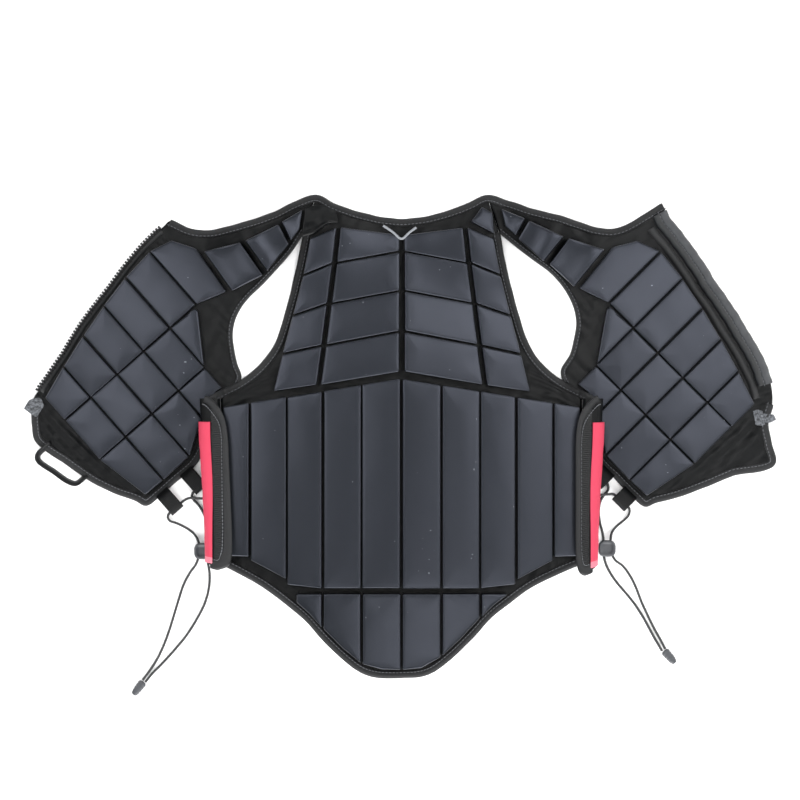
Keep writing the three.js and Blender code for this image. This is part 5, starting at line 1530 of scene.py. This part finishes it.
# %% Frayed zip ends
# upper line, lower line, level of the upper face, seed
LEFT_SCRAPS = [
    ([(-429.1, 42.8), (-422, 44.8), (-416, 44.6), (-411.9, 36.2)],
     [(-435.3, 32.8), (-428.5, 27.6), (-424, 24.5), (-420.1, 23)], 6.4, 71),
]
RIGHT_SCRAPS = [
    ([(405, 30), (410, 31.5), (416, 30)], [(408, 14), (413, 13), (419, 14)], 7.4, 73),
    ([(414, 28), (422, 26.5), (429, 26)], [(417, 17), (425, 16.5), (432, 20)], 6.0, 75),
]
SCRAP_WALL = 1.2


def frayed_patch(upper, lower, level, seed):
    """A crumpled scrap of tape: its faces wave up and down by noise finer than itself."""
    xy = between_lines(upper, lower, 26, 20)
    x, y = xy[..., 0], xy[..., 1]
    z = level + 0.8 * waves(x, y, 6, seed) + 0.3 * waves(x, y, 2.5, seed + 1)
    return scrap(xy, z, SCRAP_WALL)


for side_name, scraps in (("left", LEFT_SCRAPS), ("right", RIGHT_SCRAPS)):
    patches = join([frayed_patch(*row) for row in scraps])
    place(make_mesh(f"zip_end_{side_name}", *patches, [FRAYED]), "zip")
print("scraps:", len(LEFT_SCRAPS) + len(RIGHT_SCRAPS))

# %% [markdown]
# ### Storm flap and right zip tape
# The right front's zip lies behind a padded flap, which keeps the wind out, and shows
# only as a dark tape inside the flap's fold. The flap is a wide folded cloth, pale on its
# outer band and dark on the inner one, with stitches in the groove between them. Two
# pieces could carry the bands, but one swept profile keeps them joined, and its faces are
# coloured by their place round the profile.

# %% Storm flap and right zip tape
RIGHT_TAPE = [(0, SEAT), (0, SEAT + 1.4), (-4.5, SEAT + 2), (-9, SEAT + 1.4), (-9, SEAT)]
RIGHT_TAPE_IN = 19.0
STORM_PROFILE = np.array([
    (0.2, 0.4), (-0.6, 3.0), (0.2, 6.6), (2.6, 8.9), (6.4, 9.4), (8.6, 8.7), (9.2, 7.8),
    (10.0, 8.4), (12.6, 8.8), (15.6, 8.2), (17.6, 6.2), (18.2, 4.2), (17.8, 3.0), (9, 2.9),
])
# first and last rows of the profile that are dark
INNER_BAND = (5, 12)
STORM_SEAM_IN, STORM_SEAM_UP = 9.2, 7.9

tape_line = along_zip(SIDES["right"], proud=-RIGHT_TAPE_IN, start=0.376, stop=0.9)
right_tape = sweep(spaced(tape_line, 2.5), RIGHT_TAPE, front_height, sway=0.5, seed=61)
place(make_mesh("zip_half_right", *right_tape, [ZIP]), "zip", "zip_tape_right")

storm_line = spaced(along_zip(SIDES["right"], proud=2, start=0.366, stop=0.895), 1.5)
storm = sweep(storm_line, STORM_PROFILE * (-1, 1), front_height, sway=0.7, seed=62)
storm_thread = stitches(storm_line, -STORM_SEAM_IN, STORM_SEAM_UP, front_height)
around = np.arange(len(storm[1])) % len(STORM_PROFILE)
inner = (around >= INNER_BAND[0]) & (around < INNER_BAND[1])
storm_piece = make_mesh("storm_flap", *join([storm, storm_thread]), [STORM, STORM_INNER, THREAD],
                        np.r_[inner, np.full(len(storm_thread[1]), 2)])
place(storm_piece, "storm_flap", "storm_flap_right")
print("storm flap sections:", len(storm_line))

# %% [markdown]
# ## Webbing tabs, webbing loop and neck loop
# The lacing runs through flat webbing tabs that stand out of each front's side edge. A
# tab is a flattened tunnel, open at both sides, so it is a wall between an outer and an
# inner section. A loop of webbing leans out at the left hem, and a small pale cord loop
# lies at the neck. Both are sections swept along a few listed points.

# %% Tabs and loops
TAB_PLACES = (0.75, 0.835)
TAB_WALL, TAB_TALL, TAB_LEVEL = 1.3, 7.1, 0.3


def add_tab(side_name, side, number, share):
    """A flattened tunnel: the section goes out, round the end and back, with a wall."""
    out = np.r_[0, 0.4, 0.75, 0.88, 0.96, 1, 0.96, 0.88, 0.75, 0.4, 0]
    up = np.r_[0, 0, 0, 0.06, 0.22, 0.5, 0.78, 0.94, 1, 1, 1]
    along = share * FRONT_LENGTH + np.linspace(-0.5, 0.5, 14)[:, None] * side["tab_length"]
    root = FRONT_WIDTH - 1.0
    reach = root + out[None] * (side["tab_reach"] + 0.5)
    outer = front_point(side, along + 0 * reach, reach)
    inner = front_point(side, along + 0 * reach, reach - TAB_WALL * (out[None] > 0.8))
    z_outer = TAB_LEVEL + up[None] * TAB_TALL + 0 * along
    low = TAB_LEVEL + TAB_TALL / 2
    z_inner = low + (up[None] - 0.5) * (TAB_TALL - 2 * TAB_WALL) + 0 * along
    top = np.concatenate([outer, z_outer[..., None]], -1)
    bottom = np.concatenate([inner, z_inner[..., None]], -1)
    points, quads = closed_sheet(top, bottom)
    flat = np.stack(np.meshgrid(np.arange(11) * 4.0, np.linspace(0, side["tab_length"], 14)), -1)
    uv = np.vstack([flat.reshape(-1, 2)] * 2)
    piece = make_mesh(f"tab_{side_name}_{number}", points, quads, [WEB], uv=uv)
    return place(piece, "webbing", f"lacing_tab_{side_name}_{number}")


for side_name, side in SIDES.items():
    for number, share in enumerate(TAB_PLACES, 1):
        add_tab(side_name, side, number, share)

# the loop's course: share of the way between its feet, and how far it stands out
WEBBING_BEND = np.array([(0, -0.13), (0.02, 0.9), (0.17, 1.2), (0.5, 1.35), (0.9, 1.5),
                         (0.99, 1.2), (1, -0.13)])
WEBBING_OUT = 15.0
WEBBING_FEET = (0.47, 0.06)
WEBBING_PROFILE = [(-3.4, 0.4), (-1.6, 4.6), (1.0, 8.6), (2.8, 9.1), (1.0, 4.6), (-1.2, 0.4)]


def floor_height(x, y):
    """The floor itself, for pieces that lie beside the cloth."""
    return 0 * x


hem_rows = np.array([(row[3], row[2]) for row in FRONT_SECTIONS[SIDE_ROW:]])[::-1]
feet = [np.array([np.interp(share, *hem_rows.T) * FRONT_LENGTH, share * FRONT_WIDTH])
        for share in WEBBING_FEET]
bend = feet[0] + WEBBING_BEND[:, :1] * (feet[1] - feet[0]) + WEBBING_BEND[:, 1:] * [[WEBBING_OUT, 0]]
loop_path = spaced(front_point(SIDES["left"], bend[:, 0], bend[:, 1]), 1.5)
loop = sweep(loop_path, WEBBING_PROFILE, floor_height)
place(make_mesh("webbing_hem_loop", *loop, [WEB]), "webbing", "webbing_loop")

NECK_LOOP = np.array([(-0.101, 0.461), (-0.048, 0.447), (-0.0072, 0.433), (0.0072, 0.433),
                      (0.0433, 0.446), (0.0817, 0.457)]) * (BACK_HALF, BACK_LENGTH)
neck_level = FOAM_TOP + 1.2
neck_loop = sweep(spaced(NECK_LOOP, 1.0), squircle(12, 2.2) * (1.3, 0.7) + (0, neck_level),
                  back_height)
place(make_mesh("neck_cord_loop", *neck_loop, [PALE]), "neck_loop", "neck_loop")
print("tabs and loops: 6")

# %% [markdown]
# ## Stage and light
# The vest lies on a plain pale floor in a pale room. Three broad soft lights stand at the
# sides and behind, and a wide one lies low in front. The small weak panels overhead are
# there to be mirrored: the glossy foam shows them as lighter fronts, straps and tail,
# while the middle of the back mirrors the dim room and stays dark.


# %% Stage and light
FLOOR_REACH = 4000.0
MIDDLE = (0, 0.04, 0)
LEFT_STRAP, RIGHT_STRAP = (-0.2, 0.2, 0), (0.2, 0.2, 0)
# place, target, width and height, power in watts
LIGHTS = {
    "soft_left": ((-2.1, 0.9, 1.3), MIDDLE, (1.3, 1.3), 44),
    "soft_right": ((2.1, 0.7, 1.3), MIDDLE, (1.3, 1.3), 46),
    "soft_behind": ((0.2, 2.3, 1.5), MIDDLE, (1.6, 1.2), 36),
    "panel_right": ((0.48, 0.26, 1.7), (0.44, 0.22, 0), (0.58, 0.56), 7.6),
    "panel_left": ((-0.5, 0.2, 1.7), (-0.45, 0.18, 0), (0.46, 0.44), 5),
    "panel_foot": ((0.16, -0.46, 1.7), (0.15, -0.4, 0), (0.6, 0.3), 3.8),
    "strap_left": ((-1.05, -0.45, 1.6), LEFT_STRAP, (0.5, 0.5), 4.6),
    "strap_right": ((1.05, -0.45, 1.6), RIGHT_STRAP, (0.5, 0.5), 4.6),
    "low_front": ((0.0, -1.9, 0.85), (0, 0, 0), (2.2, 1.2), 100),
}
ROOM_LIGHT = 0.22


def add_floor():
    """One wide square."""
    points = np.array([(-1, -1, 0), (1, -1, 0), (1, 1, 0), (-1, 1, 0)], float) * FLOOR_REACH
    pale = Finish("pale_floor", "#fbfbfb", 0.9, Specular_IOR_Level=0.0)
    make_mesh("floor", points, np.array([[0, 1, 2, 3]]), [pale.material])


def add_light(name, location, target, size, power):
    """A rectangular soft light that looks at a target."""
    data = bpy.data.lights.new(name, "AREA")
    data.shape = "RECTANGLE"
    data.size, data.size_y = size
    data.energy = power
    light = bpy.data.objects.new(name, data)
    light.location = location
    aim = Vector(target) - Vector(location)
    light.rotation_euler = aim.to_track_quat("-Z", "Y").to_euler()
    bpy.context.scene.collection.objects.link(light)


add_floor()
for light_name, row in LIGHTS.items():
    add_light(light_name, *row)
world = bpy.data.worlds.new("pale_room")
world.use_nodes = True
room = world.node_tree.nodes["Background"]
room.inputs["Color"].default_value = (1, 1, 1, 1)
room.inputs["Strength"].default_value = ROOM_LIGHT
bpy.context.scene.world = world
bpy.context.scene.view_settings.view_transform = "Standard"
print("lights:", len(LIGHTS))
